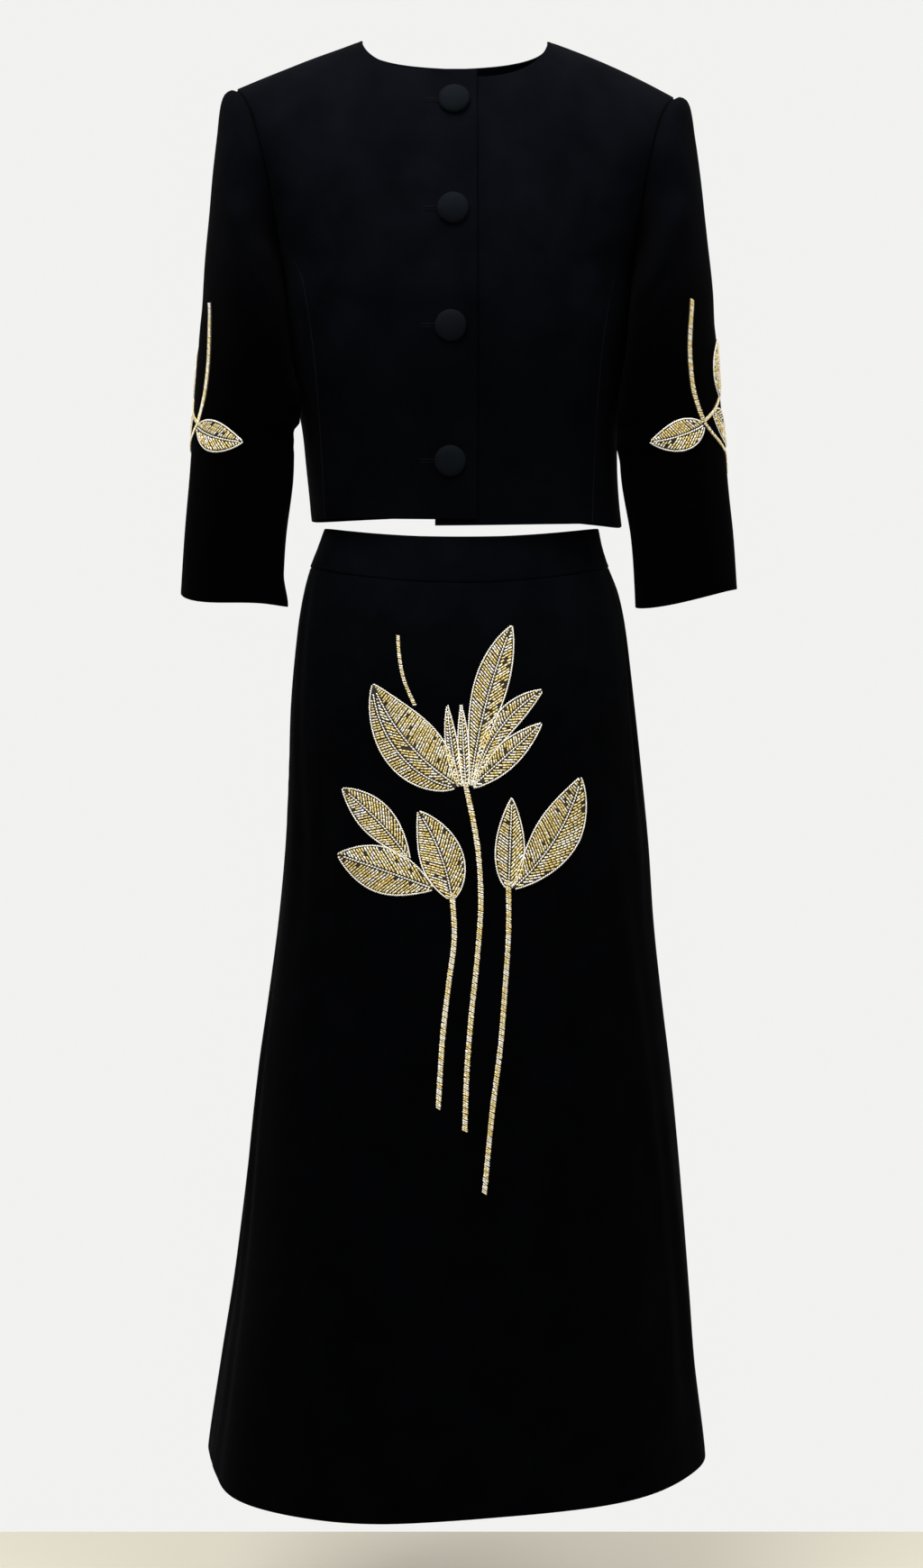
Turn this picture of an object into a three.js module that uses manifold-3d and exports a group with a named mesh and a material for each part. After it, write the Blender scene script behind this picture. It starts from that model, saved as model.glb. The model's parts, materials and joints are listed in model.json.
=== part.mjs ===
// Two-piece suit: a cropped collarless jacket with bracelet-length sleeves, worn over a long
// A-line skirt, with raised leaf sprays on the skirt front and on the outside of each sleeve.
// Millimetres, +Z up. The front faces -Y and the wearer's left is +X. The origin is level with
// the wearer's shoulders, where the jacket hangs from.
import * as THREE from 'three';
import { mergeVertices } from 'three/addons/utils/BufferGeometryUtils.js';
import Module from 'manifold-3d';

const wasm = await Module();
wasm.setup();

// Cloth
const WALL = 2.0;
const BAND_WALL = 2.6;
const SEAM = 0.36;

// Jacket neck and shoulders
const NECK_CENTRE = -2.5;
const NECK_HALF = 83;
const NECK_TOP = 30;
const NECK_DEPTH = { right: 44, left: 49, back: 9 };
const NECK_POWER = 2 / 3;
const SHOULDER_SLOPE = 0.325;
const SHOULDER_CURVE = 0.0007;
const SHOULDER_TILT = 0.00027;
const SHOULDER_HALF = 198;
const SHOULDER_ROUNDING = 2.6;
const CHEST_Z = -120;
const SURFACE_PASSES = 5;

// Armhole, princess seam and front edges
const UNDERARM = { x: 157, z: -182 };
const ARMHOLE_CURVE = 1.6;
const ARMHOLE_CAP = 10;
const ARMHOLE_CAP_CURVE = 12;
const ARMHOLE_SHIFT = -2.2;
const PRINCESS_JOIN = 0.75;
const FRONT_EDGE = 17;
const UNDERLAP_EDGE = -20;
const LAP_START = -112;
const LAP_FULL = -34;
const LAP_GAP = 0.9;

// Jacket hem, by panel, from the centre to the side seam
const HEM = {
  right: { centre: -403, side: -400 },
  left: { centre: -408, side: -405 },
  back: { centre: -391, right: -400, left: -405 },
};

// Jacket sections
const JACKET = [
  { z: -412, halfWidth: 141.5, centre: 9, front: 106, back: 97, power: 2.35 },
  { z: -384, halfWidth: 140.8, centre: 6.3, front: 106, back: 95, power: 2.35 },
  { z: -351, halfWidth: 141.5, centre: 3.5, front: 107, back: 94, power: 2.35 },
  { z: -318, halfWidth: 143.5, centre: 1.8, front: 109, back: 95, power: 2.4 },
  { z: -285, halfWidth: 149, centre: 0.9, front: 112, back: 97, power: 2.43 },
  { z: -250, halfWidth: 154, centre: 0.4, front: 115, back: 99.5, power: 2.45 },
  { z: -205, halfWidth: 156.8, centre: 0, front: 118, back: 103, power: 2.45 },
  { z: -182, halfWidth: 157.2, centre: 0, front: 118, back: 104.5, power: 2.45 },
  { z: -150, halfWidth: 164.5, centre: 0, front: 116, back: 105, power: 2.5 },
  { z: -120, halfWidth: 176, centre: 0, front: 113, back: 104, power: 2.5 },
  { z: -98, halfWidth: 185, centre: 0, front: 110, back: 102, power: 2.5 },
  { z: -60, halfWidth: 199.5, centre: 0, front: 104, back: 97, power: 2.5 },
  { z: -15, halfWidth: 214, centre: 0, front: 97, back: 87, power: 2.45 },
  { z: 60, halfWidth: 228, centre: 0, front: 86, back: 74, power: 2.4 },
];

// Princess seam, as a distance from the middle of the body
const PRINCESS = [
  { z: -405, x: 119 },
  { z: -350, x: 121 },
  { z: -301, x: 123.5 },
  { z: -264, x: 126 },
  { z: -230, x: 130 },
  { z: -195, x: 136 },
  { z: -161, x: 146 },
  { z: -120, x: 163 },
];

// Sleeve sections, by the distance run along the outer edge. Twist is how far the inner side
// is turned forwards and the outer side backwards.
const SLEEVE = [
  { run: 0, outerX: 198, outerZ: -17.6, innerX: 157.4, innerZ: -182, depth: 55, middleY: 0, twist: 0 },
  { run: 6, outerX: 202.5, outerZ: -16, innerX: 157.8, innerZ: -184, depth: 59, middleY: 0, twist: 0 },
  { run: 13, outerX: 208.5, outerZ: -19, innerX: 158, innerZ: -187, depth: 61.5, middleY: -1, twist: 1 },
  { run: 24, outerX: 212.6, outerZ: -28.5, innerX: 157.8, innerZ: -191, depth: 63, middleY: -4, twist: 5 },
  { run: 50, outerX: 216, outerZ: -53, innerX: 157, innerZ: -200, depth: 64, middleY: -15, twist: 18 },
  { run: 90, outerX: 220.3, outerZ: -93, innerX: 154.6, innerZ: -216, depth: 64, middleY: -28, twist: 22 },
  { run: 130, outerX: 223.8, outerZ: -131, innerX: 153.2, innerZ: -233, depth: 63, middleY: -32, twist: 22 },
  { run: 175, outerX: 228.2, outerZ: -176, innerX: 150.8, innerZ: -256, depth: 61, middleY: -34, twist: 20 },
  { run: 225, outerX: 232.1, outerZ: -226, innerX: 146.5, innerZ: -286, depth: 58.5, middleY: -34, twist: 18 },
  { run: 280, outerX: 236.6, outerZ: -281, innerX: 146.5, innerZ: -322, depth: 56, middleY: -33, twist: 14 },
  { run: 340, outerX: 241.1, outerZ: -341, innerX: 147.5, innerZ: -364, depth: 53, middleY: -31, twist: 10 },
  { run: 400, outerX: 245.7, outerZ: -401, innerX: 153.8, innerZ: -418, depth: 50, middleY: -32, twist: 8 },
  { run: 461, outerX: 249.8, outerZ: -462, innerX: 157, innerZ: -478, depth: 48, middleY: -33, twist: 6 },
];
const SLEEVE_SHIFT_END = 200;
const SLEEVE_SETTLE = 70;
const SLEEVE_MIDDLE_X = 198;

// Buttons, down the centre front
const BUTTON = {
  radius: 13.5,
  height: 6.2,
  rim: 2.0,
  underRadius: 11.6,
  underRise: 1.2,
  shank: 1.1,
  shankPast: 0.5,
  lift: 0.35,
};
const BUTTON_PLACES = [
  { x: -3, z: -43 },
  { x: -4, z: -138 },
  { x: -6, z: -237 },
  { x: -6.5, z: -352 },
];
const BUTTONHOLE = { length: 29, width: 3.2, past: 3 };

// Waistband edges, at the centre front, the sides and the centre back
const BAND_TOP = { front: -417, side: -406, back: -409 };
const BAND_BOTTOM = { front: -457, side: -441.5, back: -447 };

// Skirt and waistband sections. The widths run to the outermost points of each section.
const SKIRT = [
  { z: -404, left: -120.5, right: 127.5, front: 97, back: 90, power: 2.05, turn: 0 },
  { z: -424, left: -128, right: 132, front: 99, back: 92, power: 2.05, turn: 0 },
  { z: -442, left: -135, right: 138, front: 101, back: 95, power: 2.05, turn: 0 },
  { z: -466, left: -141.5, right: 147, front: 104, back: 99, power: 2.05, turn: 0 },
  { z: -499, left: -147, right: 153.5, front: 108, back: 106, power: 2.1, turn: 0 },
  { z: -565, left: -153.5, right: 161.5, front: 114, back: 115, power: 2.1, turn: 1 },
  { z: -632, left: -156, right: 169, front: 120, back: 121, power: 2.1, turn: 2 },
  { z: -699, left: -159, right: 176, front: 126, back: 126, power: 2.15, turn: 3 },
  { z: -766, left: -165, right: 181, front: 132, back: 131, power: 2.2, turn: 4 },
  { z: -833, left: -174, right: 188, front: 138, back: 137, power: 2.25, turn: 5 },
  { z: -901, left: -184.5, right: 196, front: 144, back: 142, power: 2.3, turn: 6 },
  { z: -969, left: -193, right: 203, front: 150, back: 147, power: 2.35, turn: 7.5 },
  { z: -1037, left: -200, right: 209, front: 156, back: 153, power: 2.4, turn: 9 },
  { z: -1105, left: -208.5, right: 214, front: 163, back: 158, power: 2.45, turn: 10 },
  { z: -1175, left: -220, right: 218.5, front: 170, back: 164, power: 2.5, turn: 11 },
  { z: -1244, left: -231, right: 227, front: 177, back: 170, power: 2.5, turn: 12 },
  { z: -1290, left: -237, right: 232, front: 181, back: 174, power: 2.5, turn: 12 },
];
const SKIRT_HEM = -1266;

// How far the skirt draws in between its folds at the hem, and the level where that starts
const FOLD_ALLOWANCE = { depth: 2.4, from: -900 };

// Long soft folds of the skirt: the middle of each in degrees from the centre front, its
// half width in degrees, its height, and the level where it starts.
const SKIRT_FOLDS = [
  { at: -62, spread: 15, height: 5, from: -900 },
  { at: -28, spread: 13, height: 3, from: -1000 },
  { at: 31, spread: 14, height: 3.5, from: -980 },
  { at: 66, spread: 13, height: 4.5, from: -860 },
  { at: 118, spread: 16, height: 5, from: -880 },
  { at: 158, spread: 15, height: 4, from: -960 },
  { at: 203, spread: 16, height: 4.5, from: -930 },
  { at: 246, spread: 15, height: 5, from: -870 },
];

// Raised motifs: bead-filled leaves on stems. Bases and tips are places on the cloth, bow is
// how far the midrib leaves the straight line, width is at the broadest part, and lean above 1
// moves the broadest part towards the tip.
const MOTIF = {
  skirtLift: 0.4,
  sleeveLift: 0.6,
  edge: 0.9,
  crown: 1.7,
  blunt: 0.9,
  tip: 0.72,
  fullness: 0.8,
  narrow: 24,
  stemWidth: 5.6,
  cordWidth: 3.6,
};
const CENTRE_LEAVES = [
  { baseX: 0, baseZ: -634, tipX: -74, tipZ: -546, bow: 9, width: 51, lean: 0.85 },
  { baseX: 2, baseZ: -635, tipX: -9, tipZ: -564, bow: 1.5, width: 10, lean: 0.9 },
  { baseX: 7, baseZ: -635, tipX: 3, tipZ: -564, bow: 0, width: 9, lean: 0.9 },
  { baseX: 11, baseZ: -635, tipX: 47, tipZ: -495, bow: 5, width: 29, lean: 1.5 },
  { baseX: 14, baseZ: -635, tipX: 74, tipZ: -551, bow: 11, width: 20, lean: 1.5 },
  { baseX: 12, baseZ: -635, tipX: 73, tipZ: -580, bow: 0, width: 22, lean: 0.95 },
];
const LEFT_LEAVES = [
  { baseX: -42, baseZ: -698, tipX: -101, tipZ: -638, bow: -3.5, width: 29, lean: 1.15 },
  { baseX: -21, baseZ: -723, tipX: -105, tipZ: -696, bow: -1, width: 40, lean: 1.1 },
  { baseX: -5, baseZ: -732, tipX: -34, tipZ: -656, bow: -4.5, width: 37, lean: 0.85 },
];
const RIGHT_LEAVES = [
  { baseX: 44, baseZ: -723, tipX: 47, tipZ: -645, bow: 0, width: 25, lean: 0.8 },
  { baseX: 48, baseZ: -723, tipX: 108, tipZ: -628, bow: -8.5, width: 40, lean: 1.1 },
];
const CENTRE_STEM = [
  { x: 6, z: -630 },
  { x: 13, z: -662 },
  { x: 18, z: -694 },
  { x: 20, z: -735 },
  { x: 17, z: -782 },
  { x: 12, z: -830 },
  { x: 8, z: -878 },
  { x: 6, z: -932 },
];
const LEFT_STEM = [
  { x: -5, z: -726 },
  { x: -3, z: -765 },
  { x: -8, z: -806 },
  { x: -13, z: -850 },
  { x: -17, z: -912 },
];
const RIGHT_STEM = [
  { x: 44, z: -716 },
  { x: 44, z: -761 },
  { x: 41, z: -810 },
  { x: 37, z: -860 },
  { x: 30, z: -915 },
  { x: 23, z: -986 },
];
const TENDRIL = [
  { x: -52, z: -503 },
  { x: -51, z: -519 },
  { x: -47, z: -539 },
  { x: -41, z: -556 },
];

// Sleeve motifs: baseX, tipX and x are distances forwards from the outermost line of the
// sleeve, and the left sleeve's motif sits further forwards than the right one's
const SLEEVE_GIRTH_RADIUS = 52;
const LEFT_MOTIF_AHEAD = 22;
const SLEEVE_LEAVES = [
  { baseX: 32, baseZ: -318, tipX: 87, tipZ: -334, bow: -3, width: 26, lean: 0.85 },
  { baseX: 1, baseZ: -291, tipX: -12, tipZ: -238, bow: -4, width: 26, lean: 0.9 },
  { baseX: 18, baseZ: -306, tipX: -26, tipZ: -334, bow: -3, width: 24, lean: 0.9 },
];
const SLEEVE_STEM = [
  { x: 40, z: -210 },
  { x: 43, z: -240 },
  { x: 44, z: -268 },
  { x: 42, z: -290 },
  { x: 37, z: -304 },
  { x: 31, z: -316 },
];
const SLEEVE_CORD = [
  { x: 31, z: -316 },
  { x: 20, z: -325 },
  { x: 4, z: -334 },
  { x: -12, z: -342 },
  { x: -17, z: -357 },
];
const SLEEVE_BRANCH = [
  { x: 30, z: -314 },
  { x: 17, z: -305 },
  { x: 2, z: -291 },
];

// Grid counts
const PRINCESS_ROWS = 8;
const ARMHOLE_STEPS = 24;
const PRINCESS_STEP = 7;
const NECK_COLUMNS = 6;
const SHOULDER_COLUMNS = 5;
const BACK_NECK_COLUMNS = 8;
const SKIRT_COLUMNS = 16;
const SKIRT_ROWS = 13;
const BAND_ROWS = 2;
const LEAF_ROWS = 10;
const TOP_FADE = 3;
const WIDTH_STEPS = 180;
const BUTTON_STEPS = 20;
const DOME_STEPS = [0.25, 0.5, 0.75];
const SEARCH_PASSES = 26;
const SEARCH_ANGLE = 1.45;

const COLOURS = {
  cloth: 0x0b0c0f,
  sleeve: 0x07080a,
  skirt: 0x08090c,
  button: 0x14181b,
  bead: 0xc9b583,
};

const quarter = Math.PI / 2;
const radians = Math.PI / 180;
const lerp = (a, b, f) => a + (b - a) * f;
const clamp = (value) => Math.min(1, Math.max(0, value));

function ease(value) {
  const f = clamp(value);
  return f * f * (3 - 2 * f);
}

// Smooth reading of one column of a table, at a place along its first column
function read(table, key, column, at) {
  const rising = table[1][key] > table[0][key];
  const rows = rising ? table : [...table].reverse();
  const place = Math.min(rows[rows.length - 1][key], Math.max(rows[0][key], at));
  let i = 0;
  while (i < rows.length - 2 && rows[i + 1][key] < place) {
    i += 1;
  }
  const slope = (k) => {
    const a = rows[Math.max(0, k - 1)];
    const b = rows[Math.min(rows.length - 1, k + 1)];
    return (b[column] - a[column]) / (b[key] - a[key]);
  };
  const width = rows[i + 1][key] - rows[i][key];
  const f = (place - rows[i][key]) / width;
  const from = rows[i][column];
  const to = rows[i + 1][column];
  const rise = to - from;
  const startSlope = slope(i) * width;
  const endSlope = slope(i + 1) * width;
  const cubic = startSlope + endSlope - 2 * rise;
  const square = 3 * rise - 2 * startSlope - endSlope;
  return from + f * (startSlope + f * (square + f * cubic));
}

// The rounded section: an angle from the centre front gives a point on a unit section
function section(angle, power) {
  const s = Math.sin(angle);
  const c = Math.cos(angle);
  const reach = (Math.abs(s) ** power + Math.abs(c) ** power) ** (-1 / power);
  return { across: s * reach, forward: c * reach };
}

function sectionAngle(across, power) {
  const side = Math.min(1, Math.abs(across));
  const forward = (1 - side ** power) ** (1 / power);
  return Math.sign(across) * Math.atan2(side, forward);
}

function shoulderZ(x) {
  const out = Math.abs(x - NECK_CENTRE) - NECK_HALF;
  const curve = SHOULDER_CURVE + SHOULDER_TILT * Math.sign(x);
  const bend = out > 0 ? curve * out * out : 0;
  return NECK_TOP - SHOULDER_SLOPE * out - bend;
}

function hemZ(panel, angle) {
  const round = Math.sin(angle) ** 2;
  if (panel === 'back') {
    const side = angle > 0 ? HEM.back.left : HEM.back.right;
    return lerp(HEM.back.centre, side, round);
  }
  return lerp(HEM[panel].centre, HEM[panel].side, round);
}

// Jacket surface. Rise is -1 at the hem, 0 at the chest and 1 on top of the shoulder.
function jacketPoint(panel, angle, rise) {
  const facing = panel === 'back' ? 1 : -1;
  let x = 0;
  let z = CHEST_Z;
  let row = null;
  for (let pass = 0; pass < SURFACE_PASSES; pass += 1) {
    if (rise < 0) {
      z = CHEST_Z + rise * (CHEST_Z - hemZ(panel, angle));
    } else {
      z = CHEST_Z + (shoulderZ(x) - CHEST_Z) * (1 - (1 - rise) ** 2);
    }
    const power = read(JACKET, 'z', 'power', z);
    row = section(angle, power);
    x = read(JACKET, 'z', 'centre', z) + read(JACKET, 'z', 'halfWidth', z) * row.across;
  }
  const up = rise < 0 ? 0 : 1 - (1 - rise) ** 2;
  const rounding = Math.sqrt(1 - up ** SHOULDER_ROUNDING) * (rise > 1 ? -1 : 1);
  const depth = read(JACKET, 'z', facing > 0 ? 'back' : 'front', z);
  const y = facing * depth * row.forward * rounding;
  return new THREE.Vector3(x, y, z);
}

// The place on a jacket panel that is seen at x and z from straight ahead
function jacketPlace(panel, x, z) {
  const power = read(JACKET, 'z', 'power', z);
  const centre = read(JACKET, 'z', 'centre', z);
  const across = (x - centre) / read(JACKET, 'z', 'halfWidth', z);
  const angle = sectionAngle(across, power);
  if (z < CHEST_Z) {
    return [angle, (z - CHEST_Z) / (CHEST_Z - hemZ(panel, angle))];
  }
  const up = clamp((z - CHEST_Z) / (shoulderZ(x) - CHEST_Z));
  return [angle, 1 - Math.sqrt(1 - up)];
}

// Armhole loop: turn is 0 on top of the shoulder and half a circle at the underarm. In front
// the seam runs in quickly below the shoulder; at the back it stays wider.
function armholeSeen(panel, side, turn) {
  const top = shoulderZ(side * SHOULDER_HALF + ARMHOLE_SHIFT);
  const middle = (top + UNDERARM.z) / 2;
  const z = middle + (top - middle) * Math.cos(turn);
  const up = clamp((z - UNDERARM.z) / (top - UNDERARM.z));
  const cap = panel === 'back' ? 0 : ARMHOLE_CAP;
  const reach = (SHOULDER_HALF - UNDERARM.x - cap) * up ** ARMHOLE_CURVE + cap * up ** ARMHOLE_CAP_CURVE;
  return { x: side * (UNDERARM.x + reach) + ARMHOLE_SHIFT * up, z };
}

function armholePlace(panel, side, turn) {
  const seen = armholeSeen(panel, side, turn);
  return jacketPlace(panel, seen.x, seen.z);
}

function princessPlace(panel, side, share) {
  const top = armholeSeen(panel, side, PRINCESS_STEP * (2 * Math.PI / ARMHOLE_STEPS));
  const low = HEM[panel].side;
  const z = lerp(low, top.z, share);
  const join = ease((share - PRINCESS_JOIN) / (1 - PRINCESS_JOIN));
  const x = lerp(read(PRINCESS, 'z', 'x', z), Math.abs(top.x), join);
  return jacketPlace(panel, side * x, z);
}

// A panel's places, spread between its four edges. The shape of the top edge fades out
// quickly down the panel, so that the rows below it run level.
function spread(edges) {
  const { low, high, near, far } = edges;
  const rows = near.length - 1;
  const columns = low.length - 1;
  const grid = [];
  for (let i = 0; i <= rows; i += 1) {
    const v = i / rows;
    const fade = v ** TOP_FADE;
    const line = [];
    for (let j = 0; j <= columns; j += 1) {
      const u = j / columns;
      line.push([0, 1].map((k) => {
        const straight = lerp(near[i][k], far[i][k], u);
        const below = low[j][k] - lerp(low[0][k], low[columns][k], u);
        const above = high[j][k] - lerp(high[0][k], high[columns][k], u);
        return straight + below * (1 - v) + above * fade;
      }));
    }
    grid.push(line);
  }
  return grid;
}

// The outward normal of a surface, from points just beside the place
function normalAt(surface, a, b) {
  const step = 1e-4;
  const across = surface(a + step, b).sub(surface(a - step, b));
  const along = surface(a, b + step).sub(surface(a, b - step));
  return across.cross(along).normalize();
}

// A closed wall between an outer grid of points and the same grid moved in
function wallGeometry(outer, inner, closed) {
  const rows = outer.length;
  const columns = outer[0].length;
  const positions = [];
  const index = [];
  for (const grid of [outer, inner]) {
    for (const line of grid) {
      for (const point of line) {
        positions.push(point.x, point.y, point.z);
      }
    }
  }
  const at = (layer, i, j) => layer * rows * columns + i * columns + (j % columns);
  const quad = (a, b, c, d) => index.push(a, b, c, a, c, d);
  const last = closed ? columns : columns - 1;
  for (let i = 0; i < rows - 1; i += 1) {
    for (let j = 0; j < last; j += 1) {
      quad(at(0, i, j), at(0, i, j + 1), at(0, i + 1, j + 1), at(0, i + 1, j));
      quad(at(1, i, j), at(1, i + 1, j), at(1, i + 1, j + 1), at(1, i, j + 1));
    }
  }
  for (let j = 0; j < last; j += 1) {
    quad(at(0, 0, j), at(1, 0, j), at(1, 0, j + 1), at(0, 0, j + 1));
    quad(at(0, rows - 1, j), at(0, rows - 1, j + 1), at(1, rows - 1, j + 1), at(1, rows - 1, j));
  }
  if (!closed) {
    const end = columns - 1;
    for (let i = 0; i < rows - 1; i += 1) {
      quad(at(0, i, 0), at(0, i + 1, 0), at(1, i + 1, 0), at(1, i, 0));
      quad(at(0, i, end), at(1, i, end), at(1, i + 1, end), at(0, i + 1, end));
    }
  }
  const geometry = new THREE.BufferGeometry();
  geometry.setAttribute('position', new THREE.Float32BufferAttribute(positions, 3));
  geometry.setIndex(index);
  return geometry;
}

// Each edge of a panel is drawn back by half a seam gap, on the cloth's own surface
function drawBack(grid) {
  const rows = grid.length - 1;
  const columns = grid[0].length - 1;
  const moves = [];
  const pull = (i, j, k, l) => {
    const step = grid[k][l].clone().sub(grid[i][j]).setLength(SEAM / 2);
    moves.push({ i, j, step });
  };
  for (let i = 0; i <= rows; i += 1) {
    pull(i, 0, i, 1);
    pull(i, columns, i, columns - 1);
  }
  for (let j = 0; j <= columns; j += 1) {
    pull(0, j, 1, j);
    pull(rows, j, rows - 1, j);
  }
  for (const { i, j, step } of moves) {
    grid[i][j].add(step);
  }
  return grid;
}

// A panel's wall, from its places on a surface. Facing is 1 where angles run anticlockwise
// as seen from outside, and lift moves the wall out where it laps over another.
function panelGeometry(places, surface, options) {
  const { facing, thickness, lift = () => 0 } = options;
  const outer = [];
  const inner = [];
  for (const line of places) {
    const outerLine = [];
    const innerLine = [];
    for (const [a, b] of line) {
      const normal = normalAt(surface, a, b).multiplyScalar(facing);
      const point = surface(a, b);
      point.addScaledVector(normal, lift(point.x));
      outerLine.push(point);
      innerLine.push(point.clone().addScaledVector(normal, -thickness));
    }
    outer.push(outerLine);
    inner.push(innerLine);
  }
  drawBack(outer);
  drawBack(inner);
  const geometry = wallGeometry(outer, inner, false);
  return facing > 0 ? geometry : flipped(geometry);
}

// The same geometry with its faces turned round, in place
function flipped(geometry) {
  const index = geometry.getIndex().array;
  for (let i = 0; i < index.length; i += 3) {
    const kept = index[i + 1];
    index[i + 1] = index[i + 2];
    index[i + 2] = kept;
  }
  return geometry;
}

function evenly(count, make) {
  return Array.from({ length: count + 1 }, (_, i) => make(i / count, i));
}

function signedPower(value, power) {
  return Math.sign(value) * Math.abs(value) ** power;
}

// Neckline: share is 0 at the middle and 1 where the shoulder starts
function neckSeen(panel, side, share) {
  const turn = share * quarter;
  const x = NECK_CENTRE + side * NECK_HALF * signedPower(Math.sin(turn), NECK_POWER);
  return { x, z: NECK_TOP - NECK_DEPTH[panel] * Math.cos(turn) };
}

// Jacket fronts: the centre piece from the front edge to the princess seam and armhole
function frontPlaces(panel, side, edgeX) {
  const past = side * (edgeX - NECK_CENTRE) / NECK_HALF;
  const start = Math.asin(signedPower(past, 1 / NECK_POWER)) / quarter;
  const edgeTop = neckSeen(panel, side, start).z;
  const rows = PRINCESS_ROWS + PRINCESS_STEP;
  const near = evenly(rows, (f) => jacketPlace(panel, edgeX, lerp(HEM[panel].centre, edgeTop, f)));
  const far = [];
  for (let i = 0; i <= PRINCESS_ROWS; i += 1) {
    far.push(princessPlace(panel, side, i / PRINCESS_ROWS));
  }
  for (let k = PRINCESS_STEP - 1; k >= 0; k -= 1) {
    far.push(armholePlace(panel, side, k * 2 * Math.PI / ARMHOLE_STEPS));
  }
  const columns = NECK_COLUMNS + SHOULDER_COLUMNS;
  const neckEnd = NECK_COLUMNS / columns;
  const high = evenly(columns, (f) => {
    if (f <= neckEnd) {
      const seen = neckSeen(panel, side, lerp(start, 1, f / neckEnd));
      return jacketPlace(panel, seen.x, seen.z);
    }
    const x = shoulderX(side, (f - neckEnd) / (1 - neckEnd));
    return jacketPlace(panel, x, shoulderZ(x));
  });
  const low = evenly(columns, (f) => [lerp(near[0][0], far[0][0], f), -1]);
  near[0] = low[0];
  far[0] = low[columns];
  return spread({ low, high, near, far });
}

function shoulderX(side, share) {
  return lerp(NECK_CENTRE + side * NECK_HALF, side * SHOULDER_HALF + ARMHOLE_SHIFT, share);
}

function sideFrontPlaces(panel, side) {
  const near = evenly(PRINCESS_ROWS, (f) => princessPlace(panel, side, f));
  const underarm = jacketPlace(panel, side * UNDERARM.x, UNDERARM.z);
  const far = evenly(PRINCESS_ROWS, (f) => [side * quarter, lerp(-1, underarm[1], f)]);
  const steps = ARMHOLE_STEPS / 2 - PRINCESS_STEP;
  const high = evenly(steps, (f, i) => {
    return armholePlace(panel, side, (PRINCESS_STEP + i) * 2 * Math.PI / ARMHOLE_STEPS);
  });
  const low = evenly(steps, (f) => [lerp(near[0][0], far[0][0], f), -1]);
  near[0] = low[0];
  high[steps] = far[PRINCESS_ROWS];
  return spread({ low, high, near, far });
}

function backPlaces() {
  const edge = (side) => {
    const underarm = jacketPlace('back', side * UNDERARM.x, UNDERARM.z);
    const line = evenly(PRINCESS_ROWS, (f) => [side * quarter, lerp(-1, underarm[1], f)]);
    for (let k = ARMHOLE_STEPS / 2 - 1; k >= 0; k -= 1) {
      line.push(armholePlace('back', side, k * 2 * Math.PI / ARMHOLE_STEPS));
    }
    return line;
  };
  const columns = 2 * SHOULDER_COLUMNS + BACK_NECK_COLUMNS;
  const high = evenly(columns, (f, i) => {
    const neckFrom = SHOULDER_COLUMNS;
    const neckTo = SHOULDER_COLUMNS + BACK_NECK_COLUMNS;
    if (i < neckFrom) {
      const x = shoulderX(-1, 1 - i / SHOULDER_COLUMNS);
      return jacketPlace('back', x, shoulderZ(x));
    }
    if (i > neckTo) {
      const x = shoulderX(1, (i - neckTo) / SHOULDER_COLUMNS);
      return jacketPlace('back', x, shoulderZ(x));
    }
    const seen = neckSeen('back', 1, lerp(-1, 1, (i - neckFrom) / BACK_NECK_COLUMNS));
    return jacketPlace('back', seen.x, seen.z);
  });
  const near = edge(-1);
  const far = edge(1);
  const low = evenly(columns, (f) => [lerp(-quarter, quarter, f), -1]);
  return spread({ low, high, near, far });
}

function lapLift(x) {
  return (WALL + LAP_GAP) * ease((x - LAP_START) / (LAP_FULL - LAP_START));
}

function jacketSurface(panel) {
  return (angle, rise) => jacketPoint(panel, angle, rise);
}

// Sleeves: one tube each, from the armhole loop to the slanted cuff
function sleevePoint(side, turn, run) {
  const value = (column) => read(SLEEVE, 'run', column, run);
  const c = Math.cos(turn);
  const s = Math.sin(turn);
  const ring = (outerX, outerZ, innerX, innerZ, depth, middleY, twist) => new THREE.Vector3(
    (outerX + innerX) / 2 + c * (outerX - innerX) / 2,
    middleY - s * depth + c * twist,
    (outerZ + innerZ) / 2 + c * (outerZ - innerZ) / 2,
  );
  const columns = ['outerX', 'outerZ', 'innerX', 'innerZ', 'depth', 'middleY', 'twist'];
  const point = ring(...columns.map(value));
  const first = ring(...columns.map((column) => SLEEVE[0][column]));
  const settle = (1 - clamp(run / SLEEVE_SETTLE)) ** 2;
  const shift = side * ARMHOLE_SHIFT * (1 + c) / 2;
  point.x += shift * (1 - clamp(run / SLEEVE_SHIFT_END));
  first.x += shift;
  const panel = s < 0 ? 'back' : 'left';
  const seen = armholeSeen(panel, side, turn);
  const place = armholePlace(panel, side, turn);
  const seam = jacketPoint(panel, place[0], place[1]);
  const loop = new THREE.Vector3(side * seam.x + SEAM, seam.y, seam.z);
  loop.x = Math.max(loop.x, side * seen.x);
  point.addScaledVector(loop.sub(first), settle);
  point.x *= side;
  return point;
}

function sleeveGeometry(side) {
  const runs = SLEEVE.map((row) => row.run);
  const outer = [];
  const inner = [];
  const surface = (turn, run) => sleevePoint(side, turn, run);
  for (const run of runs) {
    const outerLine = [];
    const innerLine = [];
    for (let k = 0; k < ARMHOLE_STEPS; k += 1) {
      const turn = k * 2 * Math.PI / ARMHOLE_STEPS;
      const normal = normalAt(surface, turn, Math.max(run, 0.01)).multiplyScalar(side);
      const point = surface(turn, run);
      outerLine.push(point);
      innerLine.push(point.clone().addScaledVector(normal, -WALL));
    }
    outer.push(outerLine);
    inner.push(innerLine);
  }
  const geometry = wallGeometry(outer, inner, true);
  return side > 0 ? flipped(geometry) : geometry;
}

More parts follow.
